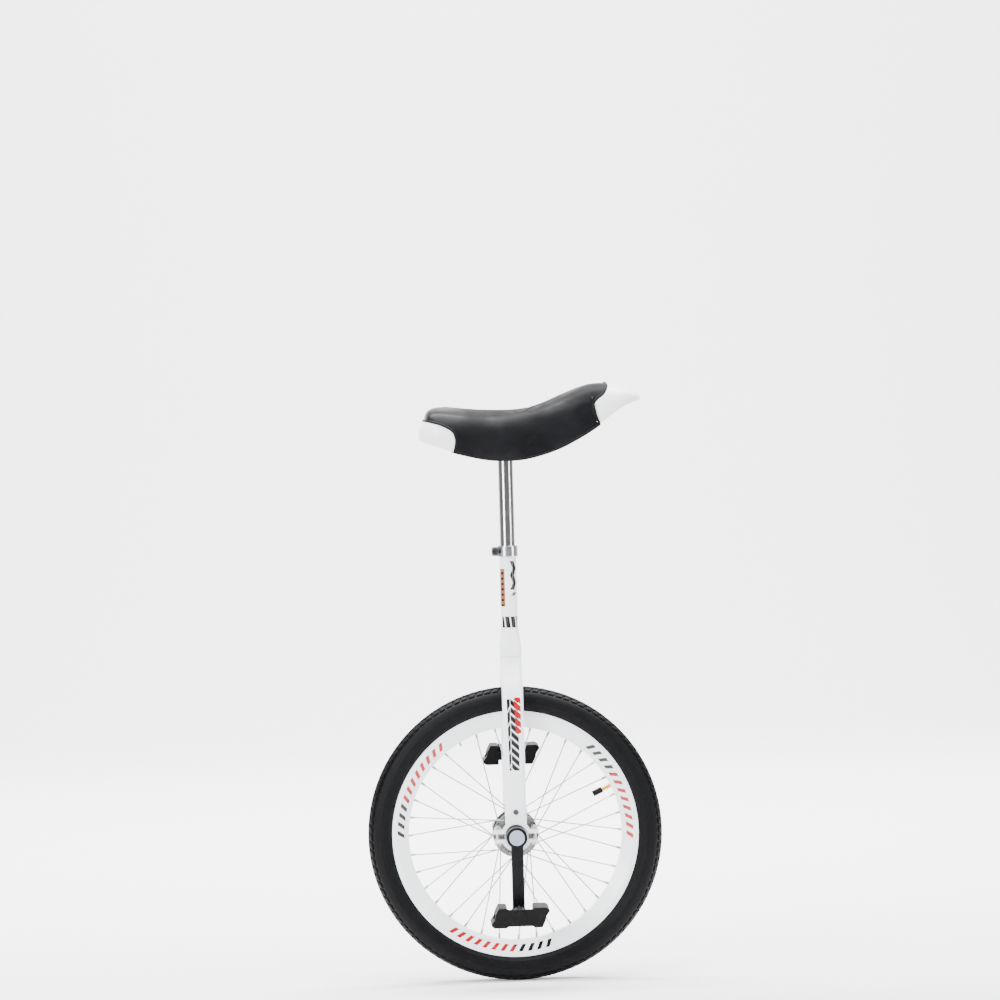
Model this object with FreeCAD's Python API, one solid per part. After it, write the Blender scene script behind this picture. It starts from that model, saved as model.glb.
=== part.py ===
import FreeCAD, Part
import math
import os

# A unicycle with a 20 inch wheel, in millimetres. +X is forward, +Z is up, and the rider's right is -Y.
# The origin is the point where the tyre touches the ground. Each function makes one physical piece.

V = FreeCAD.Vector
X_AXIS = V(1, 0, 0)
Y_AXIS = V(0, 1, 0)
Z_AXIS = V(0, 0, 1)
RIGHT, LEFT = -1, 1

# Clearances
slip = 0.05              # radial, a piece pushed into its seat
running = 0.08           # radial, rolling and turning surfaces
gap = 0.4                # between neighbours that must not touch
bolt_play = 0.2          # radial, a bolt in its hole

# Wheel: a 47-406 tyre
bead_seat_radius = 203.0
tyre_width = 47.0
tyre_height = 47.0       # bead seat to tread
tyre_wall = 3.5
tread_extra = 0.5
tube_wall = 1.2
rim_width = 31.0
rim_wall = 1.8
flange_height = 7.0      # rim hook above the bead seat
brake_band = 9.0
rim_depth = 29.0
rim_inner_width = 14.0
well_width = 18.0
well_depth = 4.0
tape_thickness = 0.8
valve_angle = 65.0       # clockwise from the top, seen from the right
valve_radius = 3.9
valve_bore_radius = 1.2
valve_showing = 16.0
valve_cap_radius = 5.0
valve_cap_length = 17.5
valve_cap_wall = 1.0

# Spokes
spoke_count = 36
spoke_radius = 1.0
spoke_lead = 40.0        # degrees between a spoke's nipple and its hub hole
spoke_hook = 2.5         # flange face to the centre of an outer spoke
nipple_radius = 2.0
nipple_length = 11.0
nipple_stagger = 1.5

# Hub and axle
hub_flange_radius = 38.0
hub_hole_circle = 32.5
hub_flange_thickness = 3.0
hub_flange_offset = 27.0
hub_barrel_radius = 17.0
hub_collar_length = 4.0
axle_radius = 8.5
axle_shoulder = 1.5
taper_length = 20.0
taper_tip_side = 12.8
taper_angle = 2.0

# Bearings, 17 x 40 x 12
bearing_offset = 50.0
bearing_outer_radius = 20.0
bearing_width = 12.0
ball_radius = 3.3735
ball_circle = 14.25
ball_count = 8
inner_race_radius = 11.8
outer_race_bore = 16.7
cage_thickness = 2.0
cage_width = 9.2
shield_thickness = 0.8

# Cranks and pedals
crank_length = 125.0
crank_boss_radius = 17.5
crank_boss_width = 24.0
crank_clearance = 3.0    # fork leg to crank boss
crank_arm_width = 20.5
crank_arm_thickness = 13.0
crank_eye_radius = 12.5
crank_recess_radius = 11.0
crank_recess_depth = 7.0
crank_edge = 2.0         # rounding of the boss and eye
crank_bolt_radius = 4.0
dust_cap_radius = 13.0
dust_cap_thickness = 1.4
pedal_thread_radius = 7.1
pedal_shaft_radius = 5.0
pedal_collar_radius = 8.5
pedal_collar_width = 5.0
pedal_body_width = 70.0
pedal_half_length = 49.0
pedal_half_height = 14.0
pedal_tread_rise = 2.5
pedal_lip = 6.0
pedal_corner = 1.8       # rounding along the pedal's outline
pedal_edge = 1.2         # rounding of its two faces
pedal_skew = 13.0
pedal_block_length = 27.0
pedal_plate = 5.0
pedal_barrel_radius = 11.5
pedal_nut_radius = 6.0
pedal_nut_width = 5.0
bushing_wall = 1.5
bushing_length = 12.0
reflector_width = 48.0
reflector_height = 13.0
reflector_depth = 5.0
pedal_recess = 1.0       # reflector face below the block's face

# Fork
leg_width = 36.0
leg_thickness = 16.0
leg_wall = 1.8
leg_start = 34.0         # leg end above the axle
shoulder_start = 220.0   # first bend above the axle
shoulder_radius = 60.0
shoulder_turn = 50.0
leg_screw_height = 41.0
leg_screw_radius = 2.5
leg_screw_head = 4.5
leg_screw_head_height = 2.6
holder_width = 14.0
holder_wall = 6.0
ear_upper = (4.5, 11.5)
ear_lower = (-11.0, -5.0)
ear_fillet = 7.0
cap_bolt_step = 5.0      # bearing strap to the middle of a cap bolt
ear_margin = 7.0         # middle of a cap bolt to the end of its ear
cap_bolt_radius = 3.0
bolt_head_radius = 5.6
bolt_head_height = 4.0
crown_height = 46.0
crown_shoulder = 26.0
crown_wall = 1.0
crown_overlap = 10.0     # crown's foot below the top of the legs
crown_floor = 8.0        # crown's foot to the neck tube

# Neck tube, collar and seat post
post_radius = 12.7
post_wall = 2.0
post_length = 258.0
post_in_neck = 98.0
neck_radius = 14.3
neck_top = 737.0
neck_slot_width = 3.0
neck_slot_length = 26.0
collar_height = 19.0
collar_radius = 17.3
collar_lip = 1.6
collar_slit = 2.6
collar_bolt_place = 21.5
collar_ear_reach = 27.5
collar_ear_height = 15.0
collar_ear_thickness = 7.0
collar_bolt_radius = 3.0
collar_bolt_head = 6.0

# Saddle, from the lowest point of its side skirt
saddle_wall = 3.0
skirt_inside = 12.0      # skirt below the underside of the base
base_thickness = 5.0
bracket_thickness = 4.0
bracket_length = 100.0
bracket_width = 56.0
post_end_room = 4.0      # the post is cut to the bracket's curve within this height
saddle_bolt_x = 38.0
saddle_bolt_y = 19.0
saddle_bolt_radius = 3.0
bumper_screw_radius = 2.0
bumper_screw_head = 4.0
bumper_screw_head_height = 1.8
slope_room = 1.4         # under a bolt head or nut on the curved base
foam_lift = 6.0          # base to foam, room for the bolt heads
bumper_screws_rear = -112.0
bumper_screws_front = 176.0

# Side outline of the saddle, (forward, up) from the skirt's lowest point
saddle_crown = [(-141, 73), (-137, 82), (-124, 89), (-100, 90), (-60, 84.5), (-13, 81.5), (28, 82.5),
                (60, 90), (90, 102), (120, 115), (147, 124), (175, 126), (200, 121), (222, 113), (232, 101)]
saddle_belly = [(-148, 37), (-120, 26), (-90, 16), (-60, 8), (-30, 2), (0, 0), (30, 1.5), (60, 8),
                (90, 18), (115, 30), (140, 44), (164, 60), (186, 76), (205, 87), (232, 95)]
# Half the saddle's width along its length
saddle_plan = [(-148, 66), (-143, 82), (-130, 95), (-105, 104), (-75, 104), (-40, 92), (0, 78), (40, 70),
               (80, 69), (120, 72), (155, 73), (185, 69), (210, 58), (225, 44), (232, 30)]
# Where the cover ends, down the side: behind it is the rear bumper, ahead of it the front bumper
cover_rear_edge = [(-160, 71), (-138, 64), (-107, 55), (-93, 46), (-87, 33), (-87, 18), (-89, -10)]
cover_front_edge = [(178, 145), (178, 117), (170, 102), (159, 89), (158, 80), (165, 53), (170, 30)]

# Places worked out from the sizes
wheel_radius = bead_seat_radius + tyre_height
axle_height = wheel_radius
rim_radius = bead_seat_radius + flange_height
rim_inner_radius = rim_radius - rim_depth
well_radius = bead_seat_radius - well_depth
tyre_section_radius = tyre_width / 2
tyre_section_centre = wheel_radius - tyre_section_radius
hub_end = hub_flange_offset + hub_flange_thickness / 2 + hub_collar_length
bearing_inside = bearing_offset - bearing_width / 2
bearing_outside = bearing_offset + bearing_width / 2
leg_outside = bearing_offset + leg_thickness / 2
crank_inside = leg_outside + crank_clearance
crank_outside = crank_inside + crank_boss_width
crank_recess_floor = crank_outside - crank_recess_depth
axle_end = crank_recess_floor - 1.0
crank_arm_inside = crank_outside - 1.0 - crank_arm_thickness
crank_arm_outside = crank_arm_inside + crank_arm_thickness
pedal_inside = crank_arm_outside + pedal_collar_width + 2 * gap
pedal_outside = pedal_inside + pedal_body_width
pedal_recess_floor = pedal_outside - pedal_plate - pedal_nut_width
cap_bolt_place = bearing_outer_radius + holder_wall + cap_bolt_step
ear_reach = cap_bolt_place + ear_margin
leg_bottom = axle_height + leg_start
crown_bottom = (axle_height + shoulder_start
                + 2 * shoulder_radius * math.sin(math.radians(shoulder_turn)) - crown_overlap)
crown_top = crown_bottom + crown_height
neck_bottom = crown_bottom + crown_floor
post_bottom = neck_top - post_in_neck
post_top = post_bottom + post_length
skirt_bottom = post_top - bracket_thickness - skirt_inside + post_end_room
ball_swing = [360.0 * i / ball_count for i in range(ball_count)]


# Shape helpers

def rod(radius, length, base, direction):
    return Part.makeCylinder(radius, length, base, direction)


def cross_rod(radius, y_start, y_end, x=0.0, z=0.0):
    """A cylinder along Y between two distances from the middle plane."""
    return rod(radius, y_end - y_start, V(x, y_start, z), Y_AXIS)


def cross_ring(outer, inner, y_start, y_end, x=0.0, z=0.0):
    return cross_rod(outer, y_start, y_end, x, z).cut(cross_rod(inner, y_start, y_end, x, z))


def block(x, y, z):
    """A box from three (low, high) pairs."""
    return Part.makeBox(x[1] - x[0], y[1] - y[0], z[1] - z[0], V(x[0], y[0], z[0]))


def plate_y(points, y_start, y_end):
    """A flat outline of (x, z) points, made thick along Y."""
    outline = Part.makePolygon([V(x, y_start, z) for x, z in points + points[:1]])
    return Part.Face(outline).extrude(V(0, y_end - y_start, 0))


def spun(edges):
    """A closed outline of (y, r) edges, turned about the wheel's axle."""
    face = Part.Face(Part.Wire(edges))
    return face.revolve(V(0, 0, axle_height), Y_AXIS, 360)


def wheel_point(y, radius):
    return V(0, y, axle_height + radius)


def wheel_line(start, end):
    return Part.LineSegment(wheel_point(*start), wheel_point(*end)).toShape()


def wheel_lines(points):
    return [wheel_line(a, b) for a, b in zip(points, points[1:])]


def wheel_arc(start, through, end):
    return Part.Arc(wheel_point(*start), wheel_point(*through), wheel_point(*end)).toShape()


def clock(angle, radius, y):
    """A point at a clock angle, clockwise from the top seen from the right side."""
    turn = math.radians(angle)
    return V(radius * math.sin(turn), y, axle_height + radius * math.cos(turn))


def between(start, end, radius):
    along = end.sub(start)
    return rod(radius, along.Length, start, along)


def hexagon(radius, height, base, direction):
    corners = [V(radius * math.cos(math.radians(60 * i)), radius * math.sin(math.radians(60 * i)), 0)
               for i in range(6)]
    prism = Part.Face(Part.makePolygon(corners + corners[:1])).extrude(V(0, 0, height))
    prism.Placement = FreeCAD.Placement(base, FreeCAD.Rotation(Z_AXIS, direction))
    return prism


def on_side(shape, side):
    """Pieces are drawn on the left; the right one is its mirror image."""
    return shape if side == LEFT else shape.mirror(V(0, 0, 0), Y_AXIS)


def both_sides(shape):
    return Part.makeCompound([on_side(shape, RIGHT), shape])


def along_y(edge):
    return abs(edge.tangentAt(edge.FirstParameter).y) > 0.99


def save(name, shape):
    solids = shape.Solids
    body = solids[0] if len(solids) == 1 else Part.makeCompound(solids)
    body.exportStep("parts/" + name + ".step")


# Wheel

def tyre_half_width(radius):
    """Half the tyre's width below its widest place: a quarter of an ellipse down to the bead seat."""
    fall = (tyre_section_centre - radius) / (tyre_section_centre - bead_seat_radius)
    return tyre_section_radius * math.sqrt(1 - fall ** 2)


def tyre():
    lift = rim_radius + gap
    bead_outer = rim_width / 2 - rim_wall - slip
    bead_inner = bead_outer - tyre_wall
    bead_foot = bead_seat_radius + slip
    middle = tyre_section_centre
    inner = tyre_section_radius - tyre_wall
    side, low_side = tyre_half_width(lift), tyre_half_width((lift + middle) / 2)
    neck = middle - math.sqrt(inner ** 2 - bead_inner ** 2)
    widest, low = tyre_section_radius, (lift + middle) / 2
    outline = wheel_lines([(bead_inner, bead_foot), (bead_outer, bead_foot), (bead_outer, lift), (side, lift)])
    outline.append(wheel_arc((side, lift), (low_side, low), (widest, middle)))
    outline.append(wheel_arc((widest, middle), (0, wheel_radius), (-widest, middle)))
    outline.append(wheel_arc((-widest, middle), (-low_side, low), (-side, lift)))
    outline += wheel_lines([(-side, lift), (-bead_outer, lift), (-bead_outer, bead_foot), (-bead_inner, bead_foot)])
    outline.append(wheel_line((-bead_inner, bead_foot), (-bead_inner, neck)))
    outline.append(wheel_arc((-bead_inner, neck), (0, middle + inner - tread_extra), (bead_inner, neck)))
    outline.append(wheel_line((bead_inner, neck), (bead_inner, bead_foot)))
    return spun(outline)


def inner_tube():
    radius = tyre_section_radius - tyre_wall - tread_extra - gap
    centre = V(0, 0, axle_height)
    skin = Part.makeTorus(tyre_section_centre - gap, radius, centre, Y_AXIS)
    air = Part.makeTorus(tyre_section_centre - gap, radius - tube_wall, centre, Y_AXIS)
    return skin.cut(air).cut(valve_path(valve_radius))


def valve_path(radius):
    inner_end = rim_inner_radius - valve_showing - 10.0
    return between(clock(valve_angle, inner_end, 0), clock(valve_angle, tyre_section_centre - 6.0, 0), radius)


def valve_stem():
    tip = rim_inner_radius - valve_showing - 8.0
    tube_inside = tyre_section_radius - tyre_wall - tread_extra - gap - tube_wall
    foot_radius = 1.7 * valve_radius
    root = tyre_section_centre - gap - math.sqrt(tube_inside ** 2 - foot_radius ** 2) + slip
    top = root + 1.5
    stem = between(clock(valve_angle, tip, 0), clock(valve_angle, top, 0), valve_radius)
    foot = between(clock(valve_angle, root, 0), clock(valve_angle, top, 0), foot_radius)
    bore = between(clock(valve_angle, tip - 1.0, 0), clock(valve_angle, top + 1.0, 0), valve_bore_radius)
    return stem.fuse(foot).cut(bore)


def valve_cap():
    outer = rim_inner_radius - valve_showing
    body = between(clock(valve_angle, outer - valve_cap_length, 0), clock(valve_angle, outer, 0), valve_cap_radius)
    tip = [edge for edge in body.Edges if edge.Curve.TypeId == "Part::GeomCircle"
           and (edge.Curve.Center.sub(V(0, 0, axle_height))).Length < outer - 1.0]
    body = body.makeFillet(valve_cap_wall, tip)
    seat_end = clock(valve_angle, outer - 8.0 - 1.0, 0)
    return body.cut(between(seat_end, clock(valve_angle, outer + 1.0, 0), valve_radius + slip))


def rim_tape():
    half = well_width / 2 - rim_wall
    ring = spun(wheel_lines([(-half, well_radius), (half, well_radius), (half, well_radius + tape_thickness),
                             (-half, well_radius + tape_thickness), (-half, well_radius)]))
    return ring.cut(valve_path(valve_radius + bolt_play))


def rim_half_width(radius):
    """Half the rim's width on its sloping side."""
    band_foot = rim_radius - brake_band
    slope = (rim_width - rim_inner_width) / 2 / (band_foot - rim_inner_radius)
    return rim_inner_width / 2 + slope * (radius - rim_inner_radius)


def rim():
    half = rim_width / 2
    hook = half - rim_wall
    well = well_width / 2
    foot = rim_inner_width / 2
    band_foot = rim_radius - brake_band
    right_half = [(foot, rim_inner_radius), (half, band_foot), (half, rim_radius), (hook, rim_radius),
                  (hook, bead_seat_radius), (well, bead_seat_radius), (well - rim_wall, well_radius)]
    left_half = [(-y, r) for y, r in reversed(right_half)]
    body = spun(wheel_lines(right_half + left_half + right_half[:1]))
    top = well_radius - rim_wall
    bottom = rim_inner_radius + rim_wall
    top_half = rim_half_width(top) - rim_wall
    bottom_half = rim_half_width(bottom) - rim_wall
    corners = [(bottom_half, bottom), (top_half, top), (-top_half, top), (-bottom_half, bottom)]
    chamber = spun(wheel_lines(corners + corners[:1]))
    holes = [valve_path(valve_radius + bolt_play)]
    for number in range(spoke_count):
        hub_end_point, rim_end_point = spoke_ends(number)
        along = rim_end_point.sub(hub_end_point).normalize()
        inside = rim_end_point.sub(along * nipple_length)
        holes.append(between(inside, rim_end_point, nipple_radius + bolt_play))
        angle = 360.0 * number / spoke_count
        holes.append(between(clock(angle, top - 1.0, 0), clock(angle, well_radius + 1.0, 0), 3.5))
    return body.cut(chamber).cut(Part.makeCompound(holes))


def spoke_ends(number):
    """Hub end and rim end of a spoke; even spokes go to the right flange, odd ones to the left."""
    side = RIGHT if number % 2 == 0 else LEFT
    ahead = number % 4 in (0, 3)
    outside = number % 4 in (0, 1)
    angle = 360.0 * number / spoke_count
    lead = spoke_lead if ahead else -spoke_lead
    face = hub_flange_offset + hub_flange_thickness / 2
    if not outside:
        face = hub_flange_offset - hub_flange_thickness / 2 - 2 * spoke_radius
    hub_y = side * (face + (spoke_hook if outside else spoke_radius))
    return (clock(angle + lead, hub_hole_circle, hub_y),
            clock(angle, rim_inner_radius + 2 * rim_wall, side * nipple_stagger))


def spoke(number):
    hub_point, rim_point = spoke_ends(number)
    side = 1 if hub_point.y > 0 else -1
    flange = side * hub_flange_offset
    inward = 1 if flange > hub_point.y else -1
    half = hub_flange_thickness / 2
    far_face = flange + inward * half
    through = V(hub_point.x, far_face + inward * slip, hub_point.z)
    head_end = V(hub_point.x, far_face + inward * (slip + spoke_radius), hub_point.z)
    shape = between(hub_point, rim_point, spoke_radius)
    shape = shape.fuse(Part.makeSphere(spoke_radius, hub_point))
    shape = shape.fuse(between(hub_point, through, spoke_radius))
    return shape.fuse(between(through, head_end, 1.8 * spoke_radius))


def spokes(side):
    first = 0 if side == RIGHT else 1
    return Part.makeCompound([spoke(number) for number in range(first, spoke_count, 2)])


def nipple(number):
    hub_point, rim_point = spoke_ends(number)
    along = rim_point.sub(hub_point).normalize()
    start = rim_point.sub(along * nipple_length)
    head = rim_point.sub(along * spoke_radius)
    shape = between(start, rim_point, nipple_radius)
    shape = shape.fuse(between(head, rim_point.add(along * spoke_radius), 1.5 * nipple_radius))
    return shape.cut(between(start.sub(along), rim_point.add(along * 3), spoke_radius + slip))


def nipples():
    return Part.makeCompound([nipple(number) for number in range(spoke_count)])


def hub_shell():
    inner = hub_flange_offset - hub_flange_thickness / 2
    outer = hub_flange_offset + hub_flange_thickness / 2
    web = hub_barrel_radius + 3.0
    bore = axle_radius + axle_shoulder
    half = [(0, hub_barrel_radius - 1.0), (inner - 6.0, hub_barrel_radius), (inner, web + 3.0),
            (inner, hub_flange_radius), (outer, hub_flange_radius), (outer, web + 1.0),
            (hub_end, web), (hub_end, bore)]
    mirrored = [(-y, r) for y, r in reversed(half[1:])]
    outline = half + [(-hub_end, bore)] + mirrored[1:] + half[:1]
    body = spun(wheel_lines(outline))
    holes = []
    for number in range(spoke_count):
        hub_point = spoke_ends(number)[0]
        side = 1 if hub_point.y > 0 else -1
        middle = side * hub_flange_offset
        holes.append(cross_rod(spoke_radius + bolt_play, middle - 4.0, middle + 4.0, hub_point.x, hub_point.z))
    return body.cut(Part.makeCompound(holes))


def square_taper():
    """The left axle end that the crank is pushed on to."""
    start, end = bearing_outside, axle_end
    grow = 2 * math.tan(math.radians(taper_angle))
    wires = []
    for y in (start, end):
        half = (taper_tip_side + grow * (end - y)) / 2
        corners = [V(half, y, axle_height + half), V(-half, y, axle_height + half),
                   V(-half, y, axle_height - half), V(half, y, axle_height - half)]
        wires.append(Part.makePolygon(corners + corners[:1]))
    taper = Part.makeLoft(wires, True, True)
    return taper.common(cross_rod(axle_radius, start - 1.0, end + 1.0, 0, axle_height))


def axle():
    middle = cross_rod(axle_radius + axle_shoulder, -hub_end, hub_end, 0, axle_height)
    journal = cross_rod(axle_radius, hub_end, bearing_outside, 0, axle_height)
    end = journal.fuse(square_taper())
    thread = cross_rod(crank_bolt_radius, axle_end - taper_length, axle_end + 1.0, 0, axle_height)
    end = end.cut(thread)
    return middle.fuse([end, on_side(end, RIGHT)])


def axle_spacers():
    return both_sides(cross_ring(axle_radius + 3.0, axle_radius + slip, hub_end, bearing_inside, 0, axle_height))


# Bearings, drawn on the left

def ball_track():
    return Part.makeTorus(ball_circle, ball_radius + running, V(0, bearing_offset, axle_height), Y_AXIS)


def inner_races():
    ring = cross_ring(inner_race_radius, axle_radius, bearing_inside, bearing_outside, 0, axle_height)
    return both_sides(ring.cut(ball_track()))


def outer_races():
    ring = cross_ring(bearing_outer_radius, outer_race_bore, bearing_inside, bearing_outside, 0, axle_height)
    return both_sides(ring.cut(ball_track()))


def ball(angle, radius):
    return Part.makeSphere(radius, clock(angle, ball_circle, bearing_offset))


def bearing_balls():
    return Part.makeCompound([ball(angle, ball_radius) for angle in ball_swing])


def bearing_cage():
    inner = ball_circle - cage_thickness / 2
    outer = ball_circle + cage_thickness / 2
    half = cage_width / 2
    ring = cross_ring(outer, inner, bearing_offset - half, bearing_offset + half, 0, axle_height)
    pockets = []
    for angle in ball_swing:
        start, end = clock(angle, inner - 2.0, bearing_offset), clock(angle, outer + 2.0, bearing_offset)
        pockets.append(between(start, end, ball_radius + running))
    return ring.cut(Part.makeCompound(pockets))


def bearing_shields():
    plates = []
    for y in (bearing_inside, bearing_outside - shield_thickness):
        plates.append(cross_ring(outer_race_bore, inner_race_radius + gap, y, y + shield_thickness, 0, axle_height))
    return both_sides(Part.makeCompound(plates))


# Cranks and pedals, drawn on the left with the crank pointing down

def rounded_ends(cylinder, radius):
    return cylinder.makeFillet(radius, [edge for edge in cylinder.Edges if len(edge.Vertexes) == 1])


def crank():
    eye_height = axle_height - crank_length
    boss = cross_rod(crank_boss_radius, crank_inside, crank_outside, 0, axle_height)
    eye = cross_rod(crank_eye_radius, crank_arm_inside, crank_arm_outside, 0, eye_height)
    boss, eye = rounded_ends(boss, crank_edge), rounded_ends(eye, crank_edge)
    half = crank_arm_width / 2
    arm = block((-half, half), (crank_arm_inside, crank_arm_outside), (eye_height, axle_height))
    arm = arm.makeFillet(2.5, [edge for edge in arm.Edges if abs(edge.tangentAt(edge.FirstParameter).z) > 0.9])
    body = boss.fuse([arm, eye])
    recess = cross_rod(crank_recess_radius, crank_recess_floor, crank_outside + 1.0, 0, axle_height)
    thread = cross_rod(pedal_thread_radius, crank_arm_inside - 1.0, crank_arm_outside + 1.0, 0, eye_height)
    room = cross_rod(crank_bolt_radius + bolt_play, axle_end - 1.0, crank_outside, 0, axle_height)
    square = square_taper().fuse(cross_rod(axle_radius - 1.0, axle_end - 1.0, crank_recess_floor, 0, axle_height))
    return body.cut(recess).cut(thread).cut(room).cut(square)


def crank_bolt():
    washer_top = crank_recess_floor + 1.5
    shank = cross_rod(crank_bolt_radius, axle_end - taper_length + 4.0, crank_recess_floor + 0.5, 0, axle_height)
    flange = cross_rod(crank_recess_radius - 1.0, crank_recess_floor, washer_top, 0, axle_height)
    head = hexagon(8.0, crank_recess_depth - 4.0, V(0, washer_top, axle_height), Y_AXIS)
    return shank.fuse([flange, head])


def crank_dust_cap():
    lid = cross_rod(dust_cap_radius, crank_outside, crank_outside + dust_cap_thickness, 0, axle_height)
    lid = lid.makeFillet(dust_cap_thickness / 2, [lid.Edges[0]])
    plug = cross_ring(crank_recess_radius - slip, crank_recess_radius - 2.0, crank_outside - 2.0, crank_outside,
                      0, axle_height)
    return lid.fuse(plug)


def pedal_spindle(height):
    thread = cross_rod(pedal_thread_radius - slip, crank_arm_inside + 1.0, crank_arm_outside, 0, height)
    collar = cross_rod(pedal_collar_radius, crank_arm_outside, pedal_inside - 2 * gap, 0, height)
    shaft = cross_rod(pedal_shaft_radius, crank_arm_outside, pedal_recess_floor + pedal_nut_width, 0, height)
    return thread.fuse([collar, shaft])


def pedal_nut(height):
    start = pedal_recess_floor + gap
    body = hexagon(pedal_nut_radius + 1.5, pedal_nut_width - gap, V(0, start, height), Y_AXIS)
    return body.cut(cross_rod(pedal_shaft_radius, start - 1.0, pedal_outside, 0, height))


def pedal_side(height):
    """Side outline of a pedal: the same after half a turn, with a lip at the front top and rear bottom."""
    length, half, rise = pedal_half_length, pedal_half_height, pedal_tread_rise
    block_start = length - pedal_block_length
    front = [(block_start - 2.0, half), (block_start + 2.0, half + rise), (length - pedal_lip, half + rise),
             (length - 1.5, half), (length, half - 3.5), (length - pedal_lip, 2.0),
             (length - pedal_lip - 1.5, -5.0), (length - pedal_skew, -half - rise),
             (length - pedal_block_length + 2.0, -half - rise), (block_start - 2.0, -half)]
    rear = [(-x, -z) for x, z in front]
    return [(x, height + z) for x, z in front + rear]


def reflector_pocket(height, end, room):
    """The space of one reflector, at the front (end 1) or the rear (end -1) face of the pedal."""
    face = pedal_half_length - pedal_lip - 1.5
    middle = (pedal_inside + pedal_outside - pedal_plate) / 2
    half_y = reflector_width / 2 + room
    half_z = reflector_height / 2 + room
    x = sorted((end * (face - reflector_depth - pedal_recess), end * (face - pedal_recess + 20.0 * room)))
    return block(x, (middle - half_y, middle + half_y), (height - 1.0 - half_z, height - 1.0 + half_z))


def pedal_body(height):
    body = plate_y(pedal_side(height), pedal_inside, pedal_outside)
    body = body.makeFillet(pedal_corner, [edge for edge in body.Edges if along_y(edge)])
    body = body.makeFillet(pedal_edge, [edge for edge in body.Edges if not along_y(edge)])
    window_end = pedal_half_length - pedal_block_length
    tall = (height - 2 * pedal_half_height, height + 2 * pedal_half_height)
    deep = (pedal_inside - 1.0, pedal_outside - pedal_plate)
    web = (height - pedal_plate, height + pedal_plate)
    for end in (-1, 1):
        x = sorted((end * 1.0, end * window_end))
        window = block(x, deep, tall)
        window = window.cut(block(x, (pedal_inside - 1.0, pedal_inside + pedal_plate), web))
        body = body.cut(window)
        body = body.cut(reflector_pocket(height, end, bolt_play))
    body = body.fuse(cross_rod(pedal_barrel_radius, pedal_inside, pedal_outside, 0, height))
    bore = pedal_shaft_radius + running + bushing_wall
    body = body.cut(cross_rod(bore, pedal_inside - 1.0, pedal_recess_floor, 0, height))
    return body.cut(cross_rod(pedal_barrel_radius - 2.0, pedal_recess_floor, pedal_outside + 1.0, 0, height))


def pedal_bushings(height):
    bore = pedal_shaft_radius + running
    rings = [cross_ring(bore + bushing_wall, bore, y, y + bushing_length, 0, height)
             for y in (pedal_inside, pedal_recess_floor - bushing_length)]
    return Part.makeCompound(rings)


def pedal_reflectors(height):
    return Part.makeCompound([reflector_pocket(height, end, 0.0) for end in (-1, 1)])


def pedal_end_cap(height):
    radius = pedal_barrel_radius - 2.0
    lid = cross_rod(radius + 1.5, pedal_outside, pedal_outside + 1.2, 0, height)
    plug = cross_ring(radius - slip, radius - 1.5, pedal_outside - 3.0, pedal_outside, 0, height)
    return lid.fuse(plug)


# Fork

def flat_oval(width, thickness, y, z):
    """A flat-oval wire across the leg, its long side along X."""
    straight = width / 2 - thickness / 2
    r = thickness / 2
    a, b = V(straight, y + r, z), V(-straight, y + r, z)
    c, d = V(-straight, y - r, z), V(straight, y - r, z)
    edges = [Part.LineSegment(a, b).toShape(), Part.Arc(b, V(-straight - r, y, z), c).toShape(),
             Part.LineSegment(c, d).toShape(), Part.Arc(d, V(straight + r, y, z), a).toShape()]
    return Part.Wire(edges)


def leg_path():
    """The left leg's middle line: straight up, in at the shoulder, and upright again at the crown."""
    turn = math.radians(shoulder_turn)
    base = axle_height + shoulder_start
    rise = shoulder_radius * math.sin(turn)
    step = shoulder_radius * (1 - math.cos(turn))
    half_rise = shoulder_radius * math.sin(turn / 2)
    half_step = shoulder_radius * (1 - math.cos(turn / 2))
    y = bearing_offset
    start, bend = V(0, y, leg_bottom), V(0, y, base)
    through = V(0, y - half_step, base + half_rise)
    middle = V(0, y - step, base + rise)
    through_two = V(0, y - 2 * step + half_step, base + 2 * rise - half_rise)
    end = V(0, y - 2 * step, base + 2 * rise)
    return Part.Wire([Part.LineSegment(start, bend).toShape(), Part.Arc(bend, through, middle).toShape(),
                      Part.Arc(middle, through_two, end).toShape()])


def fork_leg():
    path = leg_path()
    skin = path.makePipeShell([flat_oval(leg_width, leg_thickness, bearing_offset, leg_bottom)], True, False)
    bore_wire = flat_oval(leg_width - 2 * leg_wall, leg_thickness - 2 * leg_wall, bearing_offset, leg_bottom)
    leg = skin.cut(path.makePipeShell([bore_wire], True, False))
    above = block((-leg_width, leg_width), (-leg_width, leg_width), (crown_bottom, crown_top + 100.0))
    middle = block((-leg_width, leg_width), (-leg_width, slip), (leg_bottom, crown_top))
    screw_hole = cross_rod(leg_screw_radius + bolt_play, bearing_offset, leg_outside + 1.0,
                           0, axle_height + leg_screw_height)
    return leg.cut(above).cut(middle).cut(screw_hole)


def leg_screws():
    height = axle_height + leg_screw_height
    shank = cross_rod(leg_screw_radius, leg_outside - 6.0, leg_outside, 0, height)
    head = cross_rod(leg_screw_head, leg_outside, leg_outside + leg_screw_head_height, 0, height)
    head = head.makeFillet(0.8, [head.Edges[0]])
    socket = hexagon(1.7, leg_screw_head_height, V(0, leg_outside + 1.0, height), Y_AXIS)
    return both_sides(shank.fuse(head).cut(socket))


def holder_bolt_holes():
    holes = [rod(cap_bolt_radius + bolt_play, 60.0, V(x, bearing_offset, axle_height - 30.0), Z_AXIS)
             for x in (-cap_bolt_place, cap_bolt_place)]
    return Part.makeCompound(holes)


def holder_span():
    return bearing_offset - holder_width / 2, bearing_offset + holder_width / 2


def bearing_seat():
    low, high = holder_span()
    return cross_rod(bearing_outer_radius, low - 1.0, high + 1.0, 0, axle_height)


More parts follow.
